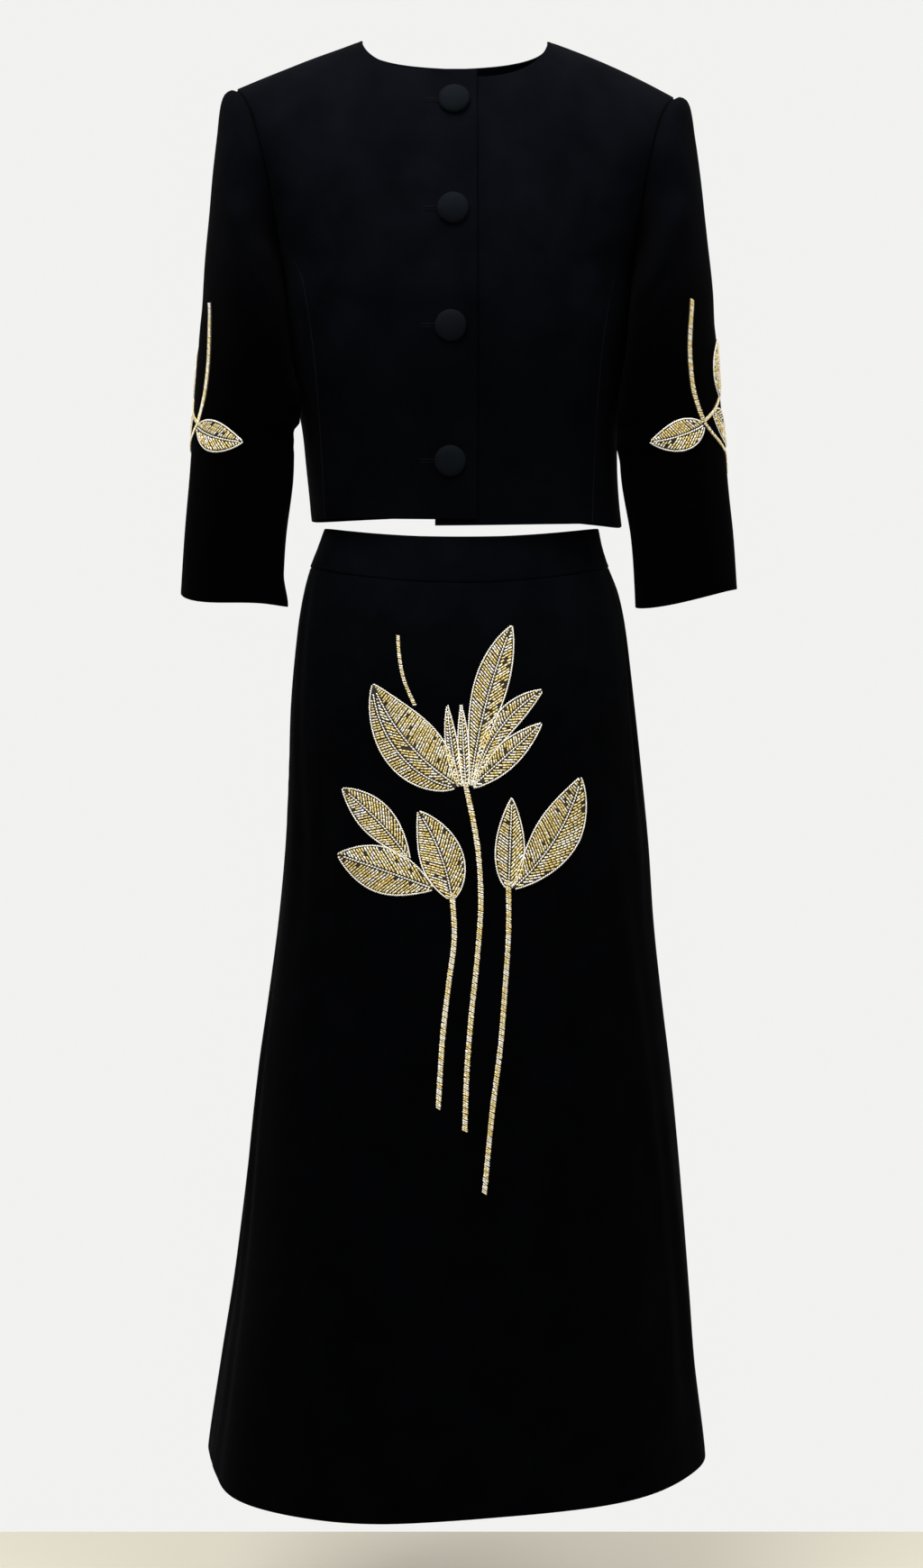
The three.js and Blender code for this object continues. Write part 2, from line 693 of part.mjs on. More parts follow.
// Skirt and waistband surface. The angle is 0 at the centre front.
function foldHeight(angle, z) {
  let height = 0;
  for (const fold of SKIRT_FOLDS) {
    const turn = angle / radians - fold.at;
    const off = ((turn + 540) % 360 - 180) / fold.spread;
    const fall = clamp((fold.from - z) / (fold.from - SKIRT_HEM));
    height += fold.height * fall * Math.exp(-off * off);
  }
  return height;
}

function skirtRow(z) {
  const row = {};
  for (const column of ['left', 'right', 'front', 'back', 'power', 'turn']) {
    row[column] = read(SKIRT, 'z', column, z);
  }
  return row;
}

function rawSkirt(row, angle) {
  const unit = section(angle, row.power);
  const depth = unit.forward > 0 ? row.front : row.back;
  const halfWidth = (row.right - row.left) / 2;
  const turn = row.turn * radians;
  const x = halfWidth * unit.across;
  const y = -depth * unit.forward;
  return { x: x * Math.cos(turn) - y * Math.sin(turn), y: x * Math.sin(turn) + y * Math.cos(turn) };
}

const widths = new Map();

function skirtWidths(z) {
  if (!widths.has(z)) {
    const row = skirtRow(z);
    const reach = evenly(WIDTH_STEPS, (f) => rawSkirt(row, f * 2 * Math.PI).x);
    widths.set(z, { low: Math.min(...reach), high: Math.max(...reach) });
  }
  return widths.get(z);
}

function skirtPoint(angle, z) {
  const row = skirtRow(z);
  const raw = rawSkirt(row, angle);
  const { low, high } = skirtWidths(z);
  const x = lerp(row.left, row.right, (raw.x - low) / (high - low));
  const point = new THREE.Vector3(x, raw.y, z);
  const drawn = clamp((FOLD_ALLOWANCE.from - z) / (FOLD_ALLOWANCE.from - SKIRT_HEM));
  const height = foldHeight(angle, z) - FOLD_ALLOWANCE.depth * drawn;
  const middle = (row.left + row.right) / 2;
  const away = new THREE.Vector3(x - middle, raw.y, 0).normalize();
  return point.addScaledVector(away, height);
}

function bandEdge(edge, angle) {
  const c = Math.cos(angle);
  const end = c > 0 ? edge.front : edge.back;
  return lerp(edge.side, end, c * c);
}

function skirtSurface(angle, share) {
  return skirtPoint(angle, lerp(bandEdge(BAND_BOTTOM, angle), SKIRT_HEM, share));
}

function bandSurface(angle, share) {
  return skirtPoint(angle, lerp(bandEdge(BAND_TOP, angle), bandEdge(BAND_BOTTOM, angle), share));
}

function halfPlaces(back, rows, columns) {
  const from = back ? quarter : -quarter;
  return evenly(rows, (f) => evenly(columns, (g) => [from + g * Math.PI, f]));
}

// The skirt's front at x and z, with its outward normal
function skirtSeen(x, z) {
  let low = -SEARCH_ANGLE;
  let high = SEARCH_ANGLE;
  for (let pass = 0; pass < SEARCH_PASSES; pass += 1) {
    const middle = (low + high) / 2;
    if (skirtPoint(middle, z).x < x) {
      low = middle;
    } else {
      high = middle;
    }
  }
  const angle = (low + high) / 2;
  const surface = (a, b) => skirtPoint(a, b);
  return { point: skirtPoint(angle, z), normal: normalAt(surface, angle, z).negate() };
}

function outwards(place, middleX) {
  const away = place.point.x * place.normal.x - middleX * place.normal.x;
  const dot = away + place.point.y * place.normal.y;
  return dot < 0 ? place.normal.negate() : place.normal;
}

// The sleeve at a distance around from its outermost line and at a height
function sleeveSeen(side, around, z) {
  const turn = around / SLEEVE_GIRTH_RADIUS;
  let low = 0;
  let high = SLEEVE[SLEEVE.length - 1].run;
  for (let pass = 0; pass < SEARCH_PASSES; pass += 1) {
    const middle = (low + high) / 2;
    if (sleevePoint(side, turn, middle).z > z) {
      low = middle;
    } else {
      high = middle;
    }
  }
  const run = (low + high) / 2;
  const surface = (a, b) => sleevePoint(side, a, b);
  return { point: sleevePoint(side, turn, run), normal: normalAt(surface, turn, run) };
}

const skirtPlace = (x, z) => {
  const place = skirtSeen(x, z);
  return { point: place.point, normal: outwards(place, 0), lift: MOTIF.skirtLift };
};

const sleevePlace = (side) => (around, z) => {
  const place = sleeveSeen(side, around + (side > 0 ? LEFT_MOTIF_AHEAD : 0), z);
  return { point: place.point, normal: outwards(place, side * SLEEVE_MIDDLE_X), lift: MOTIF.sleeveLift };
};

// A raised strip between two edges: rows of places with a half width at each
function stripGeometry(seen, spine, crown, crossings) {
  const outer = [];
  const inner = [];
  for (let i = 0; i < spine.length; i += 1) {
    const before = spine[Math.max(0, i - 1)];
    const after = spine[Math.min(spine.length - 1, i + 1)];
    const run = new THREE.Vector2(after.x - before.x, after.z - before.z).normalize();
    const outerLine = [];
    const innerLine = [];
    for (const across of crossings) {
      const x = spine[i].x - run.y * across * spine[i].half;
      const z = spine[i].z + run.x * across * spine[i].half;
      const { point, normal, lift } = seen(x, z);
      const height = lerp(crown, MOTIF.edge, across * across);
      outerLine.push(point.clone().addScaledVector(normal, lift + height));
      innerLine.push(point.clone().addScaledVector(normal, lift));
    }
    outer.push(outerLine);
    inner.push(innerLine);
  }
  return wallGeometry(outer, inner, false);
}

function leafSpine(leaf) {
  const dx = leaf.tipX - leaf.baseX;
  const dz = leaf.tipZ - leaf.baseZ;
  const long = Math.hypot(dx, dz);
  return evenly(LEAF_ROWS, (f) => {
    const bow = leaf.bow * 4 * f * (1 - f);
    const x = leaf.baseX + dx * f - dz / long * bow;
    const z = leaf.baseZ + dz * f + dx / long * bow;
    const full = leaf.width / 2 * Math.sin(Math.PI * f ** leaf.lean) ** MOTIF.fullness;
    return { x, z, half: Math.max(MOTIF.tip, MOTIF.blunt * (1 - f) + full) };
  });
}

function stemSpine(points, steps, halfWidth) {
  const curve = new THREE.CatmullRomCurve3(points.map((p) => new THREE.Vector3(p.x, 0, p.z)));
  return evenly(steps, (f) => {
    const point = curve.getPoint(f);
    return { x: point.x, z: point.z, half: halfWidth };
  });
}

function solidOf(geometry) {
  const bare = new THREE.BufferGeometry();
  bare.setAttribute('position', geometry.getAttribute('position').clone());
  bare.setIndex(geometry.getIndex());
  const merged = mergeVertices(bare, 1e-4);
  return new wasm.Manifold(new wasm.Mesh({
    numProp: 3,
    vertProperties: new Float32Array(merged.getAttribute('position').array),
    triVerts: new Uint32Array(merged.getIndex().array),
  }));
}

function geometryOf(solid) {
  const mesh = solid.getMesh();
  const geometry = new THREE.BufferGeometry();
  geometry.setAttribute('position', new THREE.Float32BufferAttribute(mesh.vertProperties, 3));
  geometry.setIndex(Array.from(mesh.triVerts));
  return geometry;
}

function outwardSolid(geometry) {
  const solid = solidOf(geometry);
  return solid.volume() > 0 ? solid : solidOf(flipped(geometry));
}

function fused(geometries) {
  let whole = null;
  for (const geometry of geometries) {
    const solid = outwardSolid(geometry);
    whole = whole ? whole.add(solid) : solid;
  }
  return geometryOf(whole);
}

const leafOf = (seen) => (leaf) => {
  const crossings = leaf.width > MOTIF.narrow ? [-1, -0.5, 0, 0.5, 1] : [-1, 0, 1];
  return stripGeometry(seen, leafSpine(leaf), MOTIF.crown, crossings);
};

function stemOf(seen, points, steps, width = MOTIF.stemWidth) {
  return stripGeometry(seen, stemSpine(points, steps, width / 2), MOTIF.crown, [-1, 0, 1]);
}

// Buttons: a domed, covered cap on a thread shank that passes through the buttonhole
function frontAt(x, z) {
  const place = jacketPlace('right', x, z);
  const surface = jacketSurface('right');
  const normal = normalAt(surface, place[0], place[1]);
  const point = surface(place[0], place[1]).addScaledVector(normal, lapLift(x));
  return { point, normal };
}

function buttonGeometry() {
  const { radius, height, rim, shank } = BUTTON;
  const reach = BUTTON.lift + WALL + BUTTON.shankPast;
  const profile = [new THREE.Vector2(0, -reach), new THREE.Vector2(shank, -reach)];
  profile.push(new THREE.Vector2(shank, 0));
  profile.push(new THREE.Vector2(BUTTON.underRadius, 0));
  profile.push(new THREE.Vector2(radius, BUTTON.underRise));
  profile.push(new THREE.Vector2(radius, rim));
  for (const f of DOME_STEPS) {
    const angle = f * quarter;
    profile.push(new THREE.Vector2(radius * Math.cos(angle), rim + (height - rim) * Math.sin(angle)));
  }
  profile.push(new THREE.Vector2(0, height));
  return new THREE.LatheGeometry(profile, BUTTON_STEPS);
}

function buttonholeGeometry() {
  return new THREE.BoxGeometry(BUTTONHOLE.length, 3 * WALL, BUTTONHOLE.width);
}

function placedOn(geometry, place, offset) {
  const turn = new THREE.Quaternion();
  turn.setFromUnitVectors(new THREE.Vector3(0, 1, 0), place.normal);
  geometry.applyQuaternion(turn);
  const spot = place.point.clone().addScaledVector(place.normal, offset);
  geometry.translate(spot.x, spot.y, spot.z);
  return geometry;
}

function frontWithButtonholes(geometry) {
  let solid = outwardSolid(geometry);
  for (const spot of BUTTON_PLACES) {
    const place = frontAt(spot.x, spot.z);
    const tool = buttonholeGeometry();
    tool.translate(BUTTONHOLE.past - BUTTONHOLE.length / 2, 0, 0);
    const tilt = Math.atan2(place.normal.z, -place.normal.y);
    tool.rotateX(-tilt);
    tool.translate(place.point.x, place.point.y, place.point.z);
    solid = solid.subtract(outwardSolid(tool));
  }
  return geometryOf(solid);
}

const suit = new THREE.Group();

function addMesh(name, geometry, colour, roughness, metalness) {
  const bare = new THREE.BufferGeometry();
  bare.setAttribute('position', geometry.getAttribute('position'));
  bare.setIndex(geometry.getIndex());
  const material = new THREE.MeshStandardMaterial({ color: colour, roughness, metalness });
  const mesh = new THREE.Mesh(mergeVertices(bare, 1e-4), material);
  mesh.name = name;
  suit.add(mesh);
  return mesh;
}

const addCloth = (name, geometry, colour) => addMesh(name, geometry, colour, 0.9, 0);
const addBeading = (name, geometry) => addMesh(name, geometry, COLOURS.bead, 0.35, 0.6);

const jacketWall = { facing: 1, thickness: WALL };
const backWall = { facing: -1, thickness: WALL };

function addJacket() {
  const rightFront = panelGeometry(frontPlaces('right', -1, FRONT_EDGE), jacketSurface('right'), {
    ...jacketWall,
    lift: lapLift,
  });
  addCloth('jacket_front_right', frontWithButtonholes(rightFront), COLOURS.cloth);
  const leftPlaces = frontPlaces('left', 1, UNDERLAP_EDGE);
  const leftFront = panelGeometry(leftPlaces, jacketSurface('left'), jacketWall);
  addCloth('jacket_front_left', geometryOf(outwardSolid(leftFront)), COLOURS.cloth);
  for (const [panel, side] of [['right', -1], ['left', 1]]) {
    const places = sideFrontPlaces(panel, side);
    const wall = panelGeometry(places, jacketSurface(panel), jacketWall);
    addCloth(`jacket_side_front_${panel}`, geometryOf(outwardSolid(wall)), COLOURS.cloth);
    addCloth(`sleeve_${panel}`, geometryOf(outwardSolid(sleeveGeometry(side))), COLOURS.sleeve);
  }
  const back = panelGeometry(backPlaces(), jacketSurface('back'), backWall);
  addCloth('jacket_back', geometryOf(outwardSolid(back)), COLOURS.cloth);
}

function addButtons() {
  BUTTON_PLACES.forEach((spot, i) => {
    const cap = placedOn(buttonGeometry(), frontAt(spot.x, spot.z), BUTTON.lift);
    addCloth(`button_${i + 1}`, cap, COLOURS.button);
  });
}

function addSkirt() {
  for (const [name, back] of [['front', false], ['back', true]]) {
    const skirt = panelGeometry(halfPlaces(back, SKIRT_ROWS, SKIRT_COLUMNS), skirtSurface, {
      facing: -1,
      thickness: WALL,
    });
    addCloth(`skirt_${name}`, geometryOf(outwardSolid(skirt)), COLOURS.skirt);
    const band = panelGeometry(halfPlaces(back, BAND_ROWS, SKIRT_COLUMNS), bandSurface, {
      facing: -1,
      thickness: BAND_WALL,
      lift: () => BAND_WALL - WALL,
    });
    addCloth(`waistband_${name}`, geometryOf(outwardSolid(band)), COLOURS.skirt);
  }
}

function addMotifs() {
  const sprays = [
    ['centre', CENTRE_LEAVES, CENTRE_STEM, 16],
    ['left', LEFT_LEAVES, LEFT_STEM, 10],
    ['right', RIGHT_LEAVES, RIGHT_STEM, 13],
  ];
  for (const [name, leaves, stem, steps] of sprays) {
    const parts = leaves.map(leafOf(skirtPlace));
    parts.push(stemOf(skirtPlace, stem, steps));
    addBeading(`skirt_spray_${name}`, fused(parts));
  }
  addBeading('skirt_tendril', fused([stemOf(skirtPlace, TENDRIL, 5, MOTIF.cordWidth)]));
  for (const [name, side] of [['right', -1], ['left', 1]]) {
    const seen = sleevePlace(side);
    const parts = SLEEVE_LEAVES.map(leafOf(seen));
    parts.push(stemOf(seen, SLEEVE_STEM, 12));
    parts.push(stemOf(seen, SLEEVE_CORD, 9, MOTIF.cordWidth));
    parts.push(stemOf(seen, SLEEVE_BRANCH, 4, MOTIF.cordWidth));
    addBeading(`sleeve_spray_${name}`, fused(parts));
  }
}

addJacket();
addButtons();
addSkirt();
addMotifs();

export default suit;
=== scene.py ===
# The looks of a two-piece suit: a cropped collarless jacket over a long A-line skirt, in
# black crepe, with beaded leaf sprays. Shapes are worked out in millimetres and made in
# metres. The front faces -Y and the wearer's left is +X.
import json
import math
from functools import partial

import bpy
import numpy as np
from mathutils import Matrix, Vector

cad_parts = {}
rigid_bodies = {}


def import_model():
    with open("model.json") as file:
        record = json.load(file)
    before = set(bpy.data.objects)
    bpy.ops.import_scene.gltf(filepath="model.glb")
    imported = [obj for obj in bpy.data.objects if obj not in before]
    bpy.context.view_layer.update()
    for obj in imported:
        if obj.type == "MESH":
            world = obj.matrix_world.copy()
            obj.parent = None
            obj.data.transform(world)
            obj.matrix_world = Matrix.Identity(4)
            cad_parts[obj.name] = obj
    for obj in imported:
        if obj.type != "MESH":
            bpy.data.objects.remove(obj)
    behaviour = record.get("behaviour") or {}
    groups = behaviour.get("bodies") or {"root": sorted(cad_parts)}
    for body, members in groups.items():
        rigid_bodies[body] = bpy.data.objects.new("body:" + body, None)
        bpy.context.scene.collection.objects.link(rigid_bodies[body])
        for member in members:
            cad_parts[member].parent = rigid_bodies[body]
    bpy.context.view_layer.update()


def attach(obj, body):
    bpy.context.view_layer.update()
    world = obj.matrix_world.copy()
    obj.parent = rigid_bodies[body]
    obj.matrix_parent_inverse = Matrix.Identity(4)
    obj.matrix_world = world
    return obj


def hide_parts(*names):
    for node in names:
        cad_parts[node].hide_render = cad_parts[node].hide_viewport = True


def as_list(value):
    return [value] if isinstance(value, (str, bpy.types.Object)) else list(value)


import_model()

MM = 0.001
SIDES = (("right", -1), ("left", 1))
WALL = 2.0
BAND_WALL = 2.6

NECK_CENTRE = -2.5
NECK_HALF = 83
NECK_TOP = 30
NECK_DEPTH = {"right": 44, "left": 49, "back": 9}
SHOULDER_SLOPE = 0.325
SHOULDER_CURVE = 0.0007
SHOULDER_TILT = 0.00027
SHOULDER_HALF = 198
SHOULDER_ROUNDING = 2.6
CHEST_Z = -120
UNDERARM_X = 157
UNDERARM_Z = -182
ARMHOLE_CURVE = 1.6
ARMHOLE_CAP = 10
ARMHOLE_CAP_CURVE = 12
ARMHOLE_SHIFT = -2.2
SLEEVE_SHIFT_END = 200
FRONT_EDGE = 17
UNDERLAP_EDGE = -20
LAP_START = -112
LAP_FULL = -34
LAP_GAP = 0.9
HEM_CENTRE = {"right": -403, "left": -408, "back": -391}
HEM_SIDE = {"right": -400, "left": -405}
QUARTER = math.pi / 2


def table(columns, *rows):
    """Named columns from rows, each sorted by the first column."""
    ordered = sorted(rows)
    names = columns.split()
    return {name: np.array([row[i] for row in ordered], float) for i, name in enumerate(names)}


JACKET = table(
    "z half_width centre front back power",
    (-412, 141.5, 9, 106, 97, 2.35),
    (-384, 140.8, 6.3, 106, 95, 2.35),
    (-351, 141.5, 3.5, 107, 94, 2.35),
    (-318, 143.5, 1.8, 109, 95, 2.4),
    (-285, 149, 0.9, 112, 97, 2.43),
    (-250, 154, 0.4, 115, 99.5, 2.45),
    (-205, 156.8, 0, 118, 103, 2.45),
    (-182, 157.2, 0, 118, 104.5, 2.45),
    (-150, 164.5, 0, 116, 105, 2.5),
    (-120, 176, 0, 113, 104, 2.5),
    (-98, 185, 0, 110, 102, 2.5),
    (-60, 199.5, 0, 104, 97, 2.5),
    (-15, 214, 0, 97, 87, 2.45),
    (60, 228, 0, 86, 74, 2.4),
)
PRINCESS = table(
    "z x",
    (-405, 119),
    (-350, 121),
    (-301, 123.5),
    (-264, 126),
    (-230, 130),
    (-195, 136),
    (-161, 146),
    (-120, 163),
)
SLEEVE = table(
    "run outer_x outer_z inner_x inner_z depth middle_y twist",
    (0, 198, -17.6, 157.4, -182, 55, 0, 0),
    (6, 202.5, -16, 157.8, -184, 59, 0, 0),
    (13, 208.5, -19, 158, -187, 61.5, -1, 1),
    (24, 212.6, -28.5, 157.8, -191, 63, -4, 5),
    (50, 216, -53, 157, -200, 64, -15, 18),
    (90, 220.3, -93, 154.6, -216, 64, -28, 22),
    (130, 223.8, -131, 153.2, -233, 63, -32, 22),
    (175, 228.2, -176, 150.8, -256, 61, -34, 20),
    (225, 232.1, -226, 146.5, -286, 58.5, -34, 18),
    (280, 236.6, -281, 146.5, -322, 56, -33, 14),
    (340, 241.1, -341, 147.5, -364, 53, -31, 10),
    (400, 245.7, -401, 153.8, -418, 50, -32, 8),
    (461, 249.8, -462, 157, -478, 48, -33, 6),
)
SLEEVE_SETTLE = 70
SLEEVE_SEAM = 0.36
SLEEVE_GIRTH_RADIUS = 52
SKIRT = table(
    "z left right front back power turn",
    (-404, -120.5, 127.5, 97, 90, 2.05, 0),
    (-424, -128, 132, 99, 92, 2.05, 0),
    (-442, -135, 138, 101, 95, 2.05, 0),
    (-466, -141.5, 147, 104, 99, 2.05, 0),
    (-499, -147, 153.5, 108, 106, 2.1, 0),
    (-565, -153.5, 161.5, 114, 115, 2.1, 1),
    (-632, -156, 169, 120, 121, 2.1, 2),
    (-699, -159, 176, 126, 126, 2.15, 3),
    (-766, -165, 181, 132, 131, 2.2, 4),
    (-833, -174, 188, 138, 137, 2.25, 5),
    (-901, -184.5, 196, 144, 142, 2.3, 6),
    (-969, -193, 203, 150, 147, 2.35, 7.5),
    (-1037, -200, 209, 156, 153, 2.4, 9),
    (-1105, -208.5, 214, 163, 158, 2.45, 10),
    (-1175, -220, 218.5, 170, 164, 2.5, 11),
    (-1244, -231, 227, 177, 170, 2.5, 12),
    (-1290, -237, 232, 181, 174, 2.5, 12),
)
SKIRT_HEM = -1266
BAND_TOP = {"front": -417, "side": -406, "back": -409}
BAND_BOTTOM = {"front": -457, "side": -441.5, "back": -447}
# The skirt's hem folds: angle in degrees, spread, height and the level where each starts
SKIRT_FOLDS = [
    (-62, 15, 5, -900), (-28, 13, 3, -1000), (31, 14, 3.5, -980), (66, 13, 4.5, -860),
    (118, 16, 5, -880), (158, 15, 4, -960), (203, 16, 4.5, -930), (246, 15, 5, -870),
]
FOLD_ALLOWANCE = 2.4
FOLD_ALLOWANCE_FROM = -900

# Creases of the cloth, each between two places of around and height, in millimetres. The
# reach is the half width of the trough, and depth is how far it goes in.
JACKET_CREASES = {
    "right": [
        (-128, -172, -60, -236, 9, 0.9), (-120, -196, -84, -262, 7, 0.7),
        (-150, -120, -92, -150, 10, 0.8), (-60, -300, -12, -352, 10, 0.5),
        (-132, -292, -96, -330, 8, 0.6),
    ],
    "left": [
        (126, -168, 66, -228, 9, 0.9), (118, -200, 78, -272, 7, 0.7),
        (148, -116, 96, -148, 10, 0.8), (30, -262, 74, -330, 12, 0.5),
        (128, -300, 92, -344, 8, 0.6),
    ],
}
BACK_CREASES = [
    (-150, -120, -84, -190, 10, 1.1), (-132, -176, -78, -238, 8, 0.9),
    (-92, -280, -24, -300, 11, 0.8), (-40, -338, 46, -350, 10, 0.6), (-12, -60, 6, -176, 12, 0.6),
    (96, -286, 20, -312, 11, 0.8), (134, -172, 72, -232, 8, 0.9), (150, -118, 88, -184, 10, 1.1),
]
SLEEVE_CREASES = [
    (-160, -330, -98, -336, 6, 1.1), (-150, -306, -88, -282, 8, 1.4),
    (-142, -226, -100, -190, 7, 0.9), (-122, -200, -66, -148, 9, 1.2),
    (-56, -262, -18, -214, 13, 0.7), (-30, -392, -84, -420, 10, 0.7),
    (36, -404, 92, -432, 10, 0.7), (60, -250, 24, -196, 13, 0.7), (124, -206, 70, -152, 9, 1.2),
    (140, -224, 104, -196, 7, 0.9), (148, -350, 104, -372, 7, 0.9), (150, -318, 96, -296, 7, 1.5),
    (160, -332, 84, -344, 6, 1.2),
]
# Soft swells of the sleeve's inner front: place around, level, reach, half height, rise, low fade
SLEEVE_SWELLS = {
    -1: [(142, -236, 24, 87, 4.2, 10), (148, -297, 22, 26, 5.0, 10)],
    1: [(142, -300, 24, 150, 4.0, 110), (148, -320, 22, 30, 3.4, 14)],
}
# How each cuff hangs: the hem's drop and where it is lowest, the inner flare, the outward sway
CUFFS = {-1: (8, 50, 5, 1), 1: (3.5, 120, 0, 3)}
CUFF_RUN = 400
FLARE_RUN = 430
SWAY_RUN = 290
SLEEVE_RUN = 461

BAND_CREASES = [
    (-128, -410, -118, -430, 6, 0.6), (-60, -415, -96, -436, 8, 0.4), (30, -424, 74, -444, 8, 0.4),
    (104, -412, 88, -426, 6, 0.7), (126, -409, 116, -434, 5, 1.1), (136, -414, 132, -440, 4, 0.9),
]
# Long soft folds of the skirt's cloth: angle from the centre front in degrees, and levels
SKIRT_CREASES = [
    (-83, -820, -80, -1262, 9, 2.2), (-74, -470, -58, -760, 9, 1.6),
    (-50, -540, -44, -980, 10, 1.2), (-21, -880, -30, -1240, 9, 2.0),
    (-8, -700, -4, -1180, 12, 0.8), (12, -900, 16, -1262, 9, 1.7), (40, -620, 46, -1050, 11, 1.3),
    (57, -760, 52, -1262, 9, 2.2), (76, -470, 66, -820, 9, 1.6), (100, -560, 96, -1262, 10, 2.2),
    (126, -500, 134, -1010, 11, 1.6), (150, -760, 142, -1262, 9, 2.4),
    (176, -520, 180, -1150, 12, 1.2), (205, -900, 214, -1262, 9, 2.3),
    (226, -560, 232, -1262, 10, 1.8), (258, -620, 262, -1262, 10, 2.0),
]

# The buttons from the top down: z and x
BUTTONS = [(-43, -3), (-138, -4), (-237, -6), (-352, -6.5)]
BUTTON_RADIUS = 13.5
BUTTON_HEIGHT = 6.2
BUTTON_RIM = 2.0
BUTTON_LIFT = 0.35
BUTTONHOLE_LENGTH = 29
BUTTONHOLE_PAST = 3

# The applique: its lift off the cloth, the pads' edge and crown, and the leaves' fullness
MOTIF_LIFT = {"skirt": 0.4, "sleeve": 0.6}
MOTIF_EDGE = 0.5
MOTIF_CROWN = 1.2
MOTIF_BLUNT = 0.9
MOTIF_FULLNESS = 0.8
MOTIF_TIP = 0.72
STEM_WIDTH = 5.2
CORD_WIDTH = 3.4
LEFT_MOTIF_AHEAD = 22
# Each leaf: base x, base z, tip x, tip z, bow, width, lean
CENTRE_LEAVES = [
    (0, -634, -74, -546, 9, 51, 0.85), (2, -635, -9, -564, 1.5, 10, 0.9),
    (7, -635, 3, -564, 0, 9, 0.9), (11, -635, 47, -495, 5, 29, 1.5),
    (14, -635, 74, -551, 11, 20, 1.5), (12, -635, 73, -580, 0, 22, 0.95),
]
LEFT_LEAVES = [
    (-42, -698, -101, -638, -3.5, 29, 1.15), (-21, -723, -105, -696, -1, 40, 1.1),
    (-5, -732, -34, -656, -4.5, 37, 0.85),
]
RIGHT_LEAVES = [
    (44, -723, 47, -645, 0, 25, 0.8), (48, -723, 108, -628, -8.5, 40, 1.1),
]
SLEEVE_LEAVES = [
    (32, -318, 87, -334, -3, 26, 0.85), (1, -291, -12, -238, -4, 26, 0.9),
    (18, -306, -26, -334, -3, 24, 0.9),
]
CENTRE_STEM = [(6, -630), (13, -662), (18, -694), (20, -735), (17, -782), (12, -830), (8, -878), (6, -932)]
LEFT_STEM = [(-5, -726), (-3, -765), (-8, -806), (-13, -850), (-17, -912)]
RIGHT_STEM = [(44, -716), (44, -761), (41, -810), (37, -860), (30, -915), (23, -986)]
TENDRIL = [(-52, -503), (-51, -519), (-47, -541), (-37, -565)]
SLEEVE_STEM = [(40, -210), (43, -240), (44, -268), (42, -290), (37, -304), (31, -316)]
SLEEVE_CORD = [(31, -316), (20, -325), (4, -334), (-12, -342), (-17, -357)]
SLEEVE_BRANCH = [(30, -314), (17, -305), (2, -291)]
SKIRT_SPRAYS = (
    ("spray_centre", CENTRE_LEAVES, CENTRE_STEM, STEM_WIDTH),
    ("spray_left", LEFT_LEAVES, LEFT_STEM, STEM_WIDTH),
    ("spray_right", RIGHT_LEAVES, RIGHT_STEM, STEM_WIDTH),
    ("tendril", [], TENDRIL, CORD_WIDTH),
)

# The CAD model's own steps: rows up the princess seam, and steps round an armhole
PRINCESS_ROWS = 8
PRINCESS_STEP = 7
ARMHOLE_STEPS = 24
ARMHOLE_STEP = 2 * math.pi / ARMHOLE_STEPS
PRINCESS_JOIN = 0.75
NECK_SHARE = 6 / 11
BACK_SHOULDER_SHARE = 5 / 18
NECK_POWER = 2 / 3
TOP_FADE = 3
JACKET_GIRTH_RADIUS = 140
BAND_GIRTH_RADIUS = 130
SKIRT_DEGREE = 2.6
PATCH_STEP = 3
# Distances from an edge where a grid has its close rows
CLOSE_STEPS = np.array([0.18, 0.3, 0.5, 0.8, 1.25, 2.0])
FOLD_ROUND = 1.0
SEAM_ROUND = 1.9
SEAM_DEPTH = 0.95
SEAM_SUNK = 1.2
SEAM_RADIUS = 0.7
TUBE_SIDES = 8
STITCH_PITCH = 0.62
# How much of the relief is left at an edge, and the fine puckers beside a seam
EDGE_RELIEF = 0.45
RELIEF_EASE = 9
PUCKER_HEIGHT = 0.12
PUCKER_PLACE = 2.5
PUCKER_REACH = 3
PUCKER_PITCH = 1.35
SEWN_FOLDS = (1, 0, 0, 0)

# The share of gold, cream and silver beads in a leaf and in a stem
LEAF_MIX = (0.46, 0.34, 0.20)
STEM_MIX = (0.26, 0.42, 0.32)
STRAND_PITCH = 2.2
STRAND_STEP = 0.2
STEM_PITCH = 1.72
BEAD_RADIUS = 0.68
OUTLINE_RADIUS = 0.58
RIB_RADIUS = 0.6
EDGE_ROOM = 1.9
RIB_ROOM = 1.5
DROPPED = 0.035
WIDE_LEAF = 40
SECOND_RIB = 0.47
BEAD_SIDES = 7
# A bead's rings: place along it and share of its radius
BEAD_RINGS = ((-0.5, 0.6), (-0.43, 1.0), (0.43, 1.0), (0.5, 0.6))
# Each tone's dark and light colour, metallic share and roughness
BEAD_TONES = {
    "gold": ((0.54, 0.38, 0.10), (0.78, 0.64, 0.27), 0.3, 0.34),
    "cream": ((0.62, 0.52, 0.29), (0.80, 0.72, 0.48), 0.12, 0.36),
    "silver": ((0.64, 0.60, 0.51), (0.84, 0.81, 0.73), 0.2, 0.3),
}

# The studio and the camera; the frame's height and the focal length are in pixels
WALL_COLOUR = (0.885, 0.885, 0.872)
ROOM_FRONT = 0.34
FLOOR_LEVEL = -1500
FLOOR_FRONT = -3000
FLOOR_BACK = 377
FLOOR_HALF = 2600
SENSOR = 36
FOCAL_PIXELS = 2530
FRAME_HEIGHT = 1740
CAMERA_PITCH = 3.844


def lerp(a, b, f):
    return a + (b - a) * f


def unit(vectors):
    return vectors / np.linalg.norm(vectors, axis=-1, keepdims=True)


